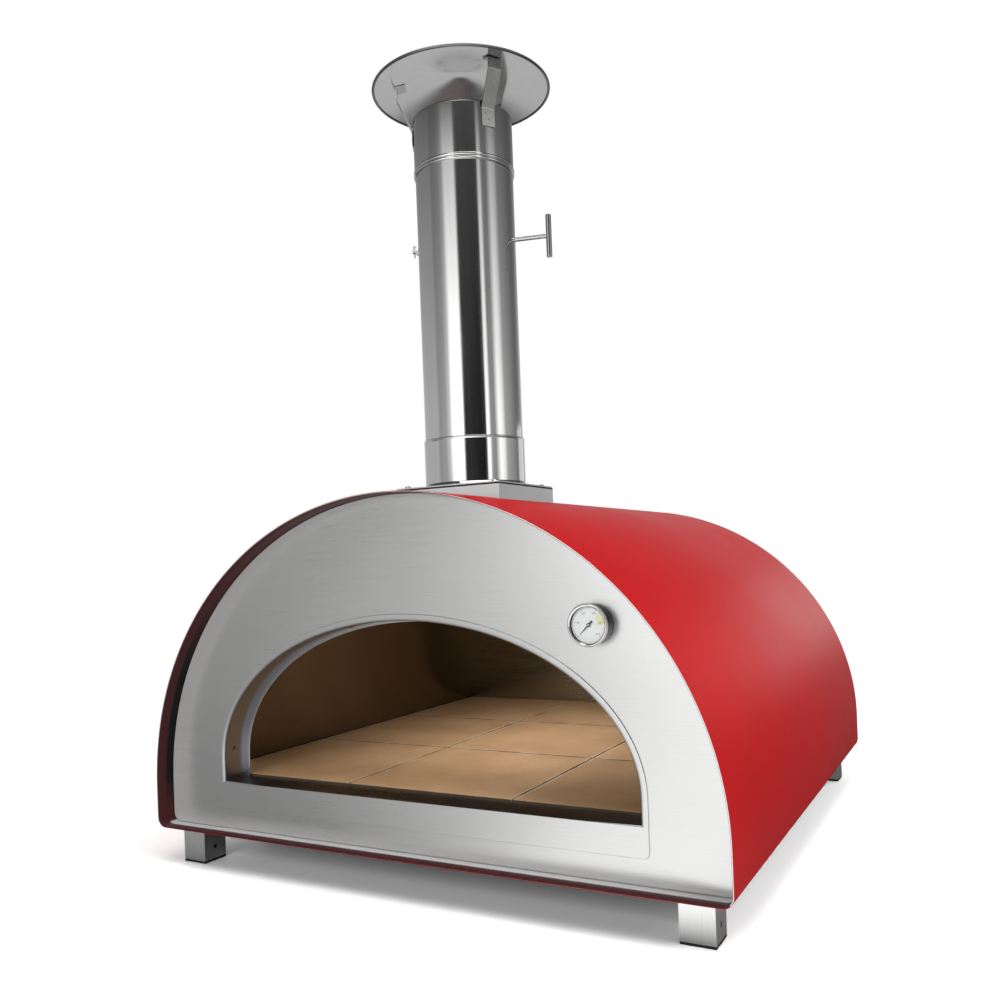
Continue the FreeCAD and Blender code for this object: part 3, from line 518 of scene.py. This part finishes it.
def build_shell():
    """One wrapped sheet with a small hem rolled at each rim, and a bright bare-metal strip round the arch at
    its front rim as a painted highlight.
    """
    hem = 1.0 * MM
    depth_low, depth_high = SHELL_LOW.y, SHELL_HIGH.y
    hem_back = 12 * MM
    section = [(0, depth_low + hem)]
    for k in range(1, 8):
        a = math.pi * k / 8
        section.append((hem * (1 - math.cos(a)), depth_low + hem - hem * math.sin(a)))
    section += [(2 * hem, depth_low + hem_back), (SHEET, depth_low + hem_back + 0.3 * MM)]
    section += [(SHEET, depth_high - hem_back - 0.3 * MM), (2 * hem, depth_high - hem_back)]
    for k in range(8):
        a = math.pi * k / 8
        section.append((hem * (1 + math.cos(a)), depth_high - hem + hem * math.sin(a)))
    section.append((0, depth_high - hem))
    front = depth_low
    # Painted highlight: a bare-metal strip along the front rim, round the arch but not along the bottom.
    rim_highlight_section = [(0.35, 0.35), (0.6, 0.08), (1.0, 0.0), (1.4, 0.08), (1.65, 0.35), (1.0, 0.5)]
    corner_half = CORNER_POINTS // 2
    rings = []
    for inset, back in rim_highlight_section:
        arch = shell_outline(inset * MM)[corner_half:-(FLOOR_POINTS + corner_half)]
        rings.append(arch_ring(arch, front + back * MM))
    make_object("rim_highlight_strip", skin(rings, "rim_highlight_strip", closed_rings=False, caps=True), "oven",
                BARE_METAL_RIM_HIGHLIGHT)
    section = [(inset, max(y, front + 0.12 * MM)) for inset, y in section]
    rings = [arch_ring(shell_outline(inset), y) for inset, y in section]
    make_object("wrapped_shell", skin(rings, "wrapped_shell"), "oven", RED,
                replaces=["outer_shell"])


def build_front_plate():
    inset = SHELL_HIGH.x - PLATE_HIGH.x
    bend = 2.5 * MM
    front, back = PLATE_LOW.y, PLATE_HIGH.y
    hole = mouth_outline(SHEET, feet_only=False)
    hole = [(x, z if z > SILL_HIGH.z + 1e-6 else SILL_HIGH.z - SHEET) for x, z in hole]
    hole = pair_by_bearing(hole)
    rings = [arch_ring(hole, front + SHEET), arch_ring(hole, front)]
    for k in range(7):
        a = math.pi / 2 * (1 - k / 6)
        rings.append(arch_ring(shell_outline(inset + bend * (1 - math.cos(a))),
                               front + bend * (1 - math.sin(a))))
    rings.append(arch_ring(shell_outline(inset), back))
    rings.append(arch_ring(shell_outline(inset + SHEET), back))
    rings.append(arch_ring(shell_outline(inset + SHEET), front + bend))
    rings.append(arch_ring(shell_outline(inset + bend), front + SHEET))
    make_object("front_pan", skin(rings, "front_pan"), "oven", FRONT,
                replaces=["front_plate"])


def pair_by_bearing(points):
    """Points on a closed outline where rays towards the shell's own points leave it."""
    centre = Vector((0, MOUTH_SPRING))
    ring = [Vector(p) - centre for p in points]
    targets = [Vector(p) - centre for p in shell_outline(0)]
    found = []
    for target in targets:
        for a, b in zip(ring, ring[1:] + ring[:1]):
            edge = b - a
            det = target.x * -edge.y + edge.x * target.y
            if abs(det) < 1e-12:
                continue
            t = (a.x * -edge.y + edge.x * a.y) / det
            s = (target.x * a.y - target.y * a.x) / det
            if t > 0 and -1e-9 <= s <= 1 + 1e-9:
                found.append(tuple(centre + target * t))
                break
    assert len(found) == len(targets)
    return found


def build_mouth():
    """Rounded front flange running back as the reveal, and the stop ring behind it."""
    front, back = SURROUND_LOW.y, SURROUND_HIGH.y
    section = round_corners(
        [(0, front), (SURROUND_FLANGE, front), (SURROUND_FLANGE, front + SHEET),
         (SHEET, front + SHEET), (SHEET, back), (0, back)],
        [4.5 * MM, 0.7 * MM, 0.4 * MM, 3.0 * MM, 0.2 * MM, 0.2 * MM], steps=8)
    make_object("arched_surround", sweep_mouth(section, "arched_surround"), "oven",
                REVEAL, replaces=["mouth_surround"])
    ring_front, ring_back = RING_LOW.y, RING_HIGH.y
    outer = RING_HIGH.x - (SURROUND_HIGH.x - SURROUND_FLANGE)
    clear = SHEET + 0.15 * MM
    half = SURROUND_HIGH.x - SURROUND_FLANGE - STOP_FLANGE
    rise = SURROUND_HIGH.z - SURROUND_FLANGE - STOP_FLANGE_CROWN - MOUTH_SPRING
    opening = arch_points(half, rise, MOUTH_SPRING, SILL_HIGH.z, feet_only=True)
    near_edge = narrowed(mouth_outline(0), opening, 0.93)
    soft = 0.5 * MM
    rings = [arch_ring(mouth_outline(outer), ring_front), arch_ring(mouth_outline(outer), ring_back - soft),
             arch_ring(mouth_outline(outer - soft), ring_back), arch_ring(near_edge, ring_back),
             arch_ring(opening, ring_back - soft), arch_ring(opening, ring_back - SHEET + soft),
             arch_ring(near_edge, ring_back - SHEET),
             arch_ring(mouth_outline(clear), ring_back - SHEET), arch_ring(mouth_outline(clear), ring_front)]
    make_object("stop_flange_ring", skin(rings, "stop_flange_ring", closed_rings=False, caps=True), "oven",
                RING, replaces=["door_stop_ring"])


def build_sill():
    """Sill and apron folded from one sheet, with a soft bend and rounded lower corners."""
    half = SILL_HIGH.x
    ledge_half = half - SURROUND_FLANGE + SHEET
    front, back = SILL_LOW.y, SILL_HIGH.y
    top, bottom = SILL_HIGH.z, SILL_LOW.z
    bend = 2 * MM
    corner = 8 * MM
    apron = round_corners([(half, top), (-half, top), (-half, bottom), (half, bottom)],
                          [0.3 * MM, 0.3 * MM, corner, corner], steps=8)
    edge = 0.5 * MM
    inner = round_corners([(half - edge, top), (edge - half, top), (edge - half, bottom + edge),
                           (half - edge, bottom + edge)],
                          [0.3 * MM, 0.3 * MM, corner - edge, corner - edge], steps=8)
    rings = [arch_ring(apron, front + SHEET), arch_ring(apron, front + edge), arch_ring(inner, front)]
    make_object("apron_face", skin(rings, "apron_face", closed_loop=False, caps=True), "oven",
                FRONT, replaces=["sill_and_apron"])
    section = [(front + 0.2 * MM, top - 6 * MM)]
    for k in range(6):
        a = math.pi / 2 * k / 5
        section.append((front + bend * (1 - math.cos(a)) + 0.05 * MM, top - bend * (1 - math.sin(a))))
    section += [(back, top), (back, top - SHEET), (front + bend, top - SHEET),
                (front + SHEET, top - bend - SHEET), (front + SHEET, top - 6 * MM)]
    rings = [[Vector((x, y, z)) for y, z in section] for x in (-ledge_half, ledge_half)]
    make_object("sill_ledge", skin(rings, "sill_ledge", closed_loop=False, caps=True), "oven",
                SILL)


# ---------------------------------------------------------------- chamber


def build_tiles():
    """Fire-clay tiles with softened arrises and faces that aren't quite true."""
    for node in [n for n in frame["nodes"] if n.startswith("floor_tile")]:
        low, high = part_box(node)
        bm = divided_block(low, high, TILE_ARRIS, segments=3, cuts=12)
        for v in bm.verts:
            wander = noise.noise(v.co * 23) * 0.35 * MM + noise.noise(v.co * 160) * 0.12 * MM
            inward = ((low + high) / 2 - v.co)
            inward.z *= 6
            v.co += inward.normalized() * (abs(wander))
        make_object(node.replace("floor_tile", "clay_tile"), mesh_from(bm, node), "oven",
                    CLAY, replaces=[node], smooth_angle=50)


# ---------------------------------------------------------------- flue


def build_flue_base():
    low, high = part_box("flue_base_plate")
    hole = 67 * MM
    half = (high.x - low.x) / 2
    outline = round_corners([(half, -half), (half, half), (-half, half), (-half, -half)], 3 * MM, steps=6)
    dense = []
    for i, point in enumerate(outline):
        a, b = Vector(point), Vector(outline[(i + 1) % len(outline)])
        steps = 16 if (b - a).length > 0.05 else 1
        dense += [tuple(a + (b - a) * k / steps) for k in range(steps)]
    circle = []
    for x, y in dense:
        r = math.hypot(x, y)
        circle.append((x / r * hole, y / r * hole))
    edge = 0.4 * MM
    def ring(points, z, shrink=0.0):
        return [Vector((FLUE.x + x * (1 - shrink / half), FLUE.y + y * (1 - shrink / half), z))
                for x, y in points]
    rings = [ring(circle, low.z), ring(dense, low.z, edge), ring(dense, low.z + edge),
             ring(dense, high.z - edge), ring(dense, high.z, edge), ring(circle, high.z)]
    make_object("flue_plate", skin(rings, "flue_plate"), "oven", SATIN,
                replaces=["flue_base_plate"])


def build_collar():
    inner = FLUE_RADIUS + 0.3 * MM
    outer = inner + SHEET
    foot, top = COLLAR_LOW.z, COLLAR_HIGH.z
    profile = round_corners([
        (inner, foot), (outer + 4 * MM, foot), (outer + 4 * MM, foot + 1.2 * MM),
        (outer, foot + 4 * MM), (outer, top - 4 * MM), (outer + 0.35 * MM, top - 1.6 * MM),
        (outer + 0.1 * MM, top), (inner, top)],
        [0, 0.4 * MM, 0.8 * MM, 2.5 * MM, 2 * MM, 0.8 * MM, 0.5 * MM, 0.3 * MM])
    make_object("collar", lathe(profile, "collar", FLUE), "oven", BRIGHT,
                replaces=["flue_collar"])


def build_pipe():
    wall = 1.0 * MM
    low, high = PIPE_LOW.z, PIPE_HIGH.z
    profile = [(FLUE_RADIUS, low)]
    steps = 12
    for k in range(1, steps):
        profile.append((FLUE_RADIUS, low + (high - low) * k / steps))
    profile += [(FLUE_RADIUS, high), (FLUE_RADIUS - wall, high), (FLUE_RADIUS - wall, low)]
    make_object("pipe", lathe(profile, "pipe", FLUE), "flue", BRIGHT,
                replaces=["flue_pipe"])


def build_sleeve():
    """Sleeve with a twin bead at its mouth and its top edge turned in."""
    inner = FLUE_RADIUS + 0.3 * MM
    outer = inner + 0.8 * MM
    low, top = SLEEVE_LOW.z, SLEEVE_HIGH.z
    profile = [(inner, low), (outer + 0.4 * MM, low)]
    for base, size in ((low + 0.2 * MM, 1.15 * MM), (low + 5.0 * MM, 1.05 * MM)):
        for k in range(9):
            a = math.pi * k / 8
            profile.append((outer + size * math.sin(a), base + 3.8 * MM * (1 - math.cos(a)) / 2))
    profile += [(outer, low + 10.5 * MM), (outer, top - 4 * MM)]
    curl = 3.4 * MM
    for k in range(1, 8):
        a = math.pi / 2 * k / 7
        profile.append((outer - curl * (1 - math.cos(a)), top - curl * (1 - math.sin(a))))
    profile += [(FLUE_RADIUS - 4 * MM, top), (FLUE_RADIUS - 4 * MM, top - 1 * MM),
                (outer - curl, top - 1 * MM), (inner, top - 3 * MM)]
    make_object("beaded_sleeve", lathe(profile, "beaded_sleeve", FLUE), "cowl", BRIGHT,
                replaces=["cowl_sleeve"])


def build_cone():
    """Spun cone with a rolled wire edge."""
    bead = 2 * MM
    thick = 1 * MM
    rim_z = CONE_LOW.z + bead
    radius = CONE_HIGH.x - bead
    apex = CONE_HIGH.z
    steps = 10
    upper, lower = [], []
    for k in range(steps + 1):
        t = k / steps
        soft = 0.8 * MM * math.exp(-(t * radius / (6 * MM)) ** 2)
        z = apex - soft - (apex - rim_z - thick / 2) * t
        upper.append((radius * t, z))
        lower.append((radius * t, z - thick))
    profile = upper + lower[::-1]
    make_object("cowl_hat", lathe(profile, "cowl_hat", FLUE), "cowl", CONE,
                replaces=["cowl_cone"])
    edge = [(radius + bead * math.cos(2 * math.pi * k / 14), rim_z + bead * math.sin(2 * math.pi * k / 14))
            for k in range(14)]
    make_object("rolled_rim", lathe(edge, "rolled_rim", FLUE), "cowl", ROLLED_EDGE)


def build_straps():
    """Bent straps with spot-weld dimples at their feet."""
    foot = FLUE_RADIUS + 1.1 * MM
    head = foot + 21 * MM
    rim_z, apex, radius = CONE_LOW.z + 2 * MM, CONE_HIGH.z - 1 * MM, CONE_HIGH.x - 2 * MM
    def under(r):
        return rim_z + (apex - rim_z) * (1 - r / radius) - 1.2 * MM
    t = 1.5 * MM
    low, knee, elbow = SLEEVE_HIGH.z - 36 * MM, SLEEVE_HIGH.z - 11 * MM, SLEEVE_HIGH.z + 34 * MM
    tab = head - 13 * MM
    outline = [(foot, low), (foot, knee), (head, elbow), (head, under(head) - t), (tab, under(tab) - t),
               (tab, under(tab)), (head + t, under(head + t)), (head + t, elbow - 0.5 * MM),
               (foot + t, knee - 0.5 * MM), (foot + t, low)]
    outline = round_corners(outline, [0.2 * MM, 5 * MM, 5 * MM, 1 * MM, 0.2 * MM, 0.2 * MM, 2.2 * MM,
                                      4 * MM, 4 * MM, 0.4 * MM])
    half = 10 * MM
    for name, angle in (("left", 210), ("right", 330), ("rear", 90)):
        turn = Matrix.Rotation(math.radians(angle), 4, "Z")
        rings = []
        for y in (-half, -half + 0.4 * MM, half - 0.4 * MM, half):
            rings.append([FLUE + turn @ Vector((r, y, z)) for r, z in outline])
        make_object("strap_" + name, skin(rings, "strap_" + name, closed_loop=False, caps=True), "cowl",
                    FIXING, replaces=["cowl_strap_" + name])
        bm = bmesh.new()
        for across, up in ((-4.5, 16), (3.5, 19), (0.5, 9)):
            spot = FLUE + turn @ Vector((foot + t, across * MM, low + up * MM))
            matrix = Matrix.Translation(spot) @ turn @ Matrix.Diagonal((0.25, 1, 1, 1))
            bmesh.ops.create_uvsphere(bm, u_segments=16, v_segments=8, radius=1.5 * MM, matrix=matrix)
        make_object("strap_%s_spot_welds" % name, mesh_from(bm, "spots"), "cowl", FIXING)


# ---------------------------------------------------------------- thermometer


def gauge_lathe(profile, name, material, node):
    """Ring or disc about the thermometer's axis, from (radius, depth behind its front face)."""
    origin = Vector((GAUGE.x, GAUGE_LOW.y, GAUGE.z))
    mesh = lathe(profile, name, origin, axis="Y", segments=96)
    make_object(name, mesh, "oven", material, replaces=[node])


def build_gauge():
    """Bezel with a rolled lip, cup behind it, and a printed dial."""
    outer = (GAUGE_HIGH.x - GAUGE_LOW.x) / 2
    dial_low, dial_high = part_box("thermometer_dial")
    case_low, case_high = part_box("thermometer_case")
    dial_radius = (dial_high.x - dial_low.x) / 2
    case_radius = (case_high.x - case_low.x) / 2
    depth = GAUGE_HIGH.y - GAUGE_LOW.y
    inner = case_radius - 1 * MM
    bezel = round_corners([
        (dial_radius, 0.9 * MM), (dial_radius + 1.0 * MM, 0.1 * MM), (outer - 1.3 * MM, 0), (outer, 1.6 * MM),
        (outer, depth - 0.6 * MM), (outer - 0.4 * MM, depth), (inner, depth), (inner, 2 * MM),
        (dial_radius, 2 * MM)],
        [0.3 * MM, 0.8 * MM, 1.4 * MM, 1.2 * MM, 0.4 * MM, 0.3 * MM, 0, 0, 0.2 * MM])
    gauge_lathe(bezel, "gauge_bezel", CHROME, "thermometer_bezel")
    start, back = case_low.y - GAUGE_LOW.y, case_high.y - GAUGE_LOW.y
    case = round_corners([
        (case_radius, start), (case_radius, back - 2 * MM), (case_radius - 2 * MM, back), (1.3 * MM, back),
        (1.3 * MM, back - 1.5 * MM), (inner, back - 1.5 * MM), (inner, start)],
        [0.2 * MM, 1.5 * MM, 1.5 * MM, 0, 0, 0.5 * MM, 0.2 * MM])
    # Painted shade: the cup behind the bezel is near black.
    gauge_lathe(case, "gauge_cup", SHADE_BLACK_CASE, "thermometer_case")
    build_dial_print(dial_low.y, dial_radius)
    hub_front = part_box("thermometer_pointer")[0].y - GAUGE_LOW.y
    cap = round_corners([(0, hub_front - 0.5 * MM), (1.2 * MM, hub_front - 0.5 * MM),
                         (1.2 * MM, hub_front + 0.2 * MM), (0, hub_front + 0.2 * MM)],
                        [0, 0.4 * MM, 0, 0])
    origin = Vector((GAUGE.x, GAUGE_LOW.y, GAUGE.z))
    make_object("pointer_cap", lathe(cap, "pointer_cap", origin, axis="Y", segments=48), "pointer",
                BARE_METAL_RIM_HIGHLIGHT)


def dial_spot(bearing, radius, y):
    """Point on the dial at a clock bearing in degrees, seen from the front."""
    a = math.radians(bearing)
    return Vector((GAUGE.x + radius * math.sin(a), y, GAUGE.z + radius * math.cos(a)))


def band(name, inner, outer, start, end, y, material, steps=40):
    """Thin printed arc lying on the dial."""
    thick = 0.06 * MM
    rings = []
    for k in range(steps + 1):
        bearing = start + (end - start) * k / steps
        rings.append([dial_spot(bearing, inner, y), dial_spot(bearing, outer, y),
                      dial_spot(bearing, outer, y - thick), dial_spot(bearing, inner, y - thick)])
    make_object(name, skin(rings, name, closed_loop=False, caps=True), "oven", material)


def build_dial_print(face_y, radius):
    first, last = 225.0, 495.0
    band("dial_yellow_zone", radius * 0.46, radius * 0.91, 404, 450, face_y, ZONE)
    band("dial_scale_line", radius * 0.925, radius * 0.94, first, last, face_y, FAINT)
    bm = bmesh.new()
    divisions = 50
    for k in range(divisions + 1):
        bearing = first + (last - first) * k / divisions
        major = k % 10 == 0
        inner = radius * (0.82 if major else 0.87 if k % 5 == 0 else 0.89)
        half = (0.22 if major else 0.1) * MM
        along = (dial_spot(bearing, 1, 0) - dial_spot(bearing, 0, 0)).normalized()
        across = Vector((along.z, 0, -along.x)) * half
        a, b = dial_spot(bearing, inner, face_y), dial_spot(bearing, radius * 0.93, face_y)
        front = Vector((0, -0.06 * MM, 0))
        corners = [a - across, a + across, b + across, b - across]
        low = [bm.verts.new(p) for p in corners]
        top = [bm.verts.new(p + front) for p in corners]
        bm.faces.new(low)
        bm.faces.new(top[::-1])
        for i in range(4):
            bm.faces.new((low[i], low[(i + 1) % 4], top[(i + 1) % 4], top[i]))
    make_object("dial_ticks", mesh_from(bm, "dial_ticks"), "oven", FAINT)
    for k in range(6):
        bearing = first + (last - first) * k / 5
        place_number(str(k * 100), dial_spot(bearing, radius * 0.68, face_y))


def place_number(text, spot):
    """A small printed number, upright, facing the front."""
    curve = bpy.data.curves.new("number_" + text, "FONT")
    curve.body = text
    curve.size = 3.4 * MM
    curve.align_x = "CENTER"
    curve.align_y = "CENTER"
    curve.extrude = 0.03 * MM
    curve.resolution_u = 3
    holder = bpy.data.objects.new("number", curve)
    bpy.context.scene.collection.objects.link(holder)
    bpy.context.view_layer.update()
    mesh = bpy.data.meshes.new_from_object(holder.evaluated_get(bpy.context.evaluated_depsgraph_get()))
    bpy.data.objects.remove(holder)
    upright = Matrix.Rotation(math.pi / 2, 4, "X")
    mesh.transform(Matrix.Translation(spot + Vector((0, -0.03 * MM, 0))) @ upright)
    mesh.materials.clear()
    make_object("dial_number_" + text, mesh, "oven", FAINT)


build_shell()
build_front_plate()
build_mouth()
build_sill()
build_tiles()
build_flue_base()
build_collar()
build_pipe()
build_sleeve()
build_cone()
build_straps()
build_gauge()

# ---------------------------------------------------------------- studio


# Brightness of the studio walls by compass bearing: 0 faces the mouth's own way (-Y), positive to
# the right.
STUDIO_WALLS = [
    (-180, 0.50), (-172, 0.55), (-162, 0.70), (-134, 0.70), (-122, 0.50), (-62, 0.52), (-54, 0.36),
    (-36, 0.45), (-25, 0.85), (-18, 1.90), (5, 2.00), (10, 0.04), (52, 0.01), (58, 0.05), (61, 1.60),
    (66, 1.60), (70, 0.35), (81, 0.35), (85, 0.80), (92, 1.50), (102, 1.20), (110, 0.48), (130, 0.33),
    (150, 0.18), (165, 0.20), (180, 0.45)]
# The same for the light on the sweep, from a pole under the mouth's right-hand side.
SWEEP_POLE = Vector((0.25, -0.10, 0))
SWEEP = [
    (-180, 0.40), (-172, 0.55), (-130, 0.55), (-115, 0.15), (-75, 0.25), (-50, 0.27), (-36, 0.52),
    (-24, 0.85), (-14, 1.30), (10, 1.40), (30, 1.15), (55, 0.50), (90, 0.30), (115, 0.10), (140, 0.12),
    (165, 0.14), (172, 0.20), (180, 0.38)]


def light_bands(tree, vector, levels):
    """Brightness by the bearing of a vector, as a share of the peak, and the peak itself."""
    xyz = axes_of(tree, vector)
    bearing = calc(tree, "ARCTAN2", xyz["X"], calc(tree, "MULTIPLY", xyz["Y"], -1.0))
    share = spread(tree, bearing, 0.0, 1.0, -math.pi, math.pi)
    ramp = add_node(tree, "ShaderNodeValToRGB", {"Fac": share})
    elements = ramp.color_ramp.elements
    elements.remove(elements[1])
    peak = max(level for bearing, level in levels)
    for k, (degrees, level) in enumerate(levels):
        position = (degrees + 180) / 360
        element = elements[0] if k == 0 else elements.new(position)
        element.position = position
        element.color = (level / peak,) * 3 + (1,)
    return ramp.outputs["Color"], peak


def build_floor():
    """Pale sweep that fades to the backdrop's white away from the oven and carries its light bands."""
    half_width, drop = 60, 0.2 * MM
    bm = bmesh.new()
    bmesh.ops.create_grid(bm, x_segments=8, y_segments=8, size=half_width)
    mesh = mesh_from(bm, "studio_floor")
    material = bpy.data.materials.new("studio_floor")
    material.use_nodes = True
    tree = material.node_tree
    tree.nodes.clear()
    mottle = stretched_noise(tree, (3, 3, 3), detail=3)
    seen = add_node(tree, "ShaderNodeBsdfDiffuse", {
        "Color": tint(tree, mottle, (1.82, 1.82, 1.82), (1.87, 1.87, 1.87))})
    place = object_place(tree)
    away = add_node(tree, "ShaderNodeVectorMath", {0: place}, operation="LENGTH").outputs["Value"]
    white = add_node(tree, "ShaderNodeEmission", {"Color": (1, 1, 1, 1), "Strength": 1.0})
    fading = add_node(tree, "ShaderNodeMixShader", {
        0: spread(tree, away, 0.0, 1.0, 0.75, 1.6), 1: seen.outputs[0], 2: white.outputs[0]})
    depth = axes_of(tree, place)["Y"]
    near = add_node(tree, "ShaderNodeBsdfDiffuse", {"Color": spread(tree, depth, 0.26, 0.15, -0.3, 0.2)})
    from_pole = add_node(tree, "ShaderNodeVectorMath", {0: place, 1: SWEEP_POLE}, operation="SUBTRACT")
    bands, peak = light_bands(tree, from_pole.outputs["Vector"], SWEEP)
    lit = add_node(tree, "ShaderNodeEmission", {"Color": bands, "Strength": peak})
    lit_share = calc(tree, "MAXIMUM", spread(tree, depth, 1.0, 0.0, -0.52, -0.43),
                     spread(tree, away, 0.0, 1.0, 0.95, 1.30))
    bounce = add_node(tree, "ShaderNodeMixShader", {
        0: lit_share, 1: near.outputs[0], 2: lit.outputs[0]})
    camera_ray = add_node(tree, "ShaderNodeLightPath").outputs["Is Camera Ray"]
    mix = add_node(tree, "ShaderNodeMixShader", {
        0: camera_ray, 1: bounce.outputs[0], 2: fading.outputs[0]})
    add_node(tree, "ShaderNodeOutputMaterial", {"Surface": mix.outputs[0]})
    mesh.materials.append(material)
    floor = bpy.data.objects.new("studio_floor", mesh)
    bpy.context.scene.collection.objects.link(floor)
    floor.location.z = -drop


def softbox(name, location, target, width, height, power, visible_camera=False):
    light = bpy.data.lights.new(name, "AREA")
    light.shape = "RECTANGLE"
    light.size, light.size_y = width, height
    light.energy = power
    obj = bpy.data.objects.new(name, light)
    bpy.context.scene.collection.objects.link(obj)
    obj.location = location
    obj.rotation_euler = (Vector(target) - Vector(location)).to_track_quat("-Z", "Y").to_euler()
    obj.visible_camera = visible_camera
    return obj


def build_world():
    """Walls with bright and dark bands that darken overhead, seen by the camera as plain white."""
    world = bpy.data.worlds.new("studio")
    bpy.context.scene.world = world
    world.use_nodes = True
    tree = world.node_tree
    tree.nodes.clear()
    direction = add_node(tree, "ShaderNodeTexCoord").outputs["Generated"]
    bands, peak = light_bands(tree, direction, STUDIO_WALLS)
    overhead = spread(tree, axes_of(tree, direction)["Z"], 0.0, 1.0, 0.16, 0.52)
    walls = blend(tree, overhead, bands, (0.04, 0.04, 0.04, 1))
    lit = add_node(tree, "ShaderNodeBackground", {"Color": walls, "Strength": peak})
    seen = add_node(tree, "ShaderNodeBackground", {"Color": (1, 1, 1, 1), "Strength": 1.0})
    camera_ray = add_node(tree, "ShaderNodeLightPath").outputs["Is Camera Ray"]
    mix = add_node(tree, "ShaderNodeMixShader", {
        0: camera_ray, 1: lit.outputs[0], 2: seen.outputs[0]})
    add_node(tree, "ShaderNodeOutputWorld", {"Surface": mix.outputs[0]})


def build_camera():
    """Level view from the right of the mouth, at about the height of the shell's shoulder."""
    place = Vector((0.670, -1.364, 0.412))
    yaw, pitch, roll = math.radians(28.73), math.radians(0.17), math.radians(-2.18)
    forward = Vector((-math.sin(yaw) * math.cos(pitch), math.cos(yaw) * math.cos(pitch), math.sin(pitch)))
    level = Vector((math.cos(yaw), math.sin(yaw), 0))
    upward = level.cross(forward)
    right = level * math.cos(roll) + upward * math.sin(roll)
    up = upward * math.cos(roll) - level * math.sin(roll)
    data = bpy.data.cameras.new("camera")
    data.sensor_width = 36
    data.lens = 33.49
    data.shift_y = 0.06
    data.clip_end = 100
    camera = bpy.data.objects.new("camera", data)
    bpy.context.scene.collection.objects.link(camera)
    camera.matrix_world = Matrix((
        (right.x, up.x, -forward.x, place.x), (right.y, up.y, -forward.y, place.y),
        (right.z, up.z, -forward.z, place.z), (0, 0, 0, 1)))
    bpy.context.scene.camera = camera


build_floor()
build_world()
# Each light: name, place, what it points at, width, height and watts.
softbox("overhead", (0.3, -0.6, 2.6), (0, 0, 0.2), 1.8, 1.4, 26, visible_camera=True)
# One light shows only as a sheen on the coat; the fills light surfaces without showing in the steel.
sheen = softbox("side_sheen", (1.1, 3.2, 0.72), (0.41, 0, 0.35), 1.7, 0.8, 2.4)
sheen.visible_diffuse = False
for fill in (("right_side", (2.4, -1.0, 1.9), (0.3, 0, 0.2), 1.2, 0.8, 29),
             ("chamber_fill", (0, -0.02, 0.345), (0, 0.02, 0.12), 0.30, 0.50, 0.7),
             ("front_fill", (0.0, -2.6, 1.1), (0.1, -0.4, 0.25), 1.2, 0.8, 14),
             ("rear_fill", (1.8, 2.4, 1.4), (0.1, 0.3, 0.25), 1.6, 1.0, 32),
             ("left_fill", (-2.2, 1.6, 1.5), (-0.3, 0.2, 0.25), 1.4, 1.0, 16)):
    softbox(*fill).visible_glossy = False
build_camera()

bpy.context.scene.view_settings.view_transform = "Standard"
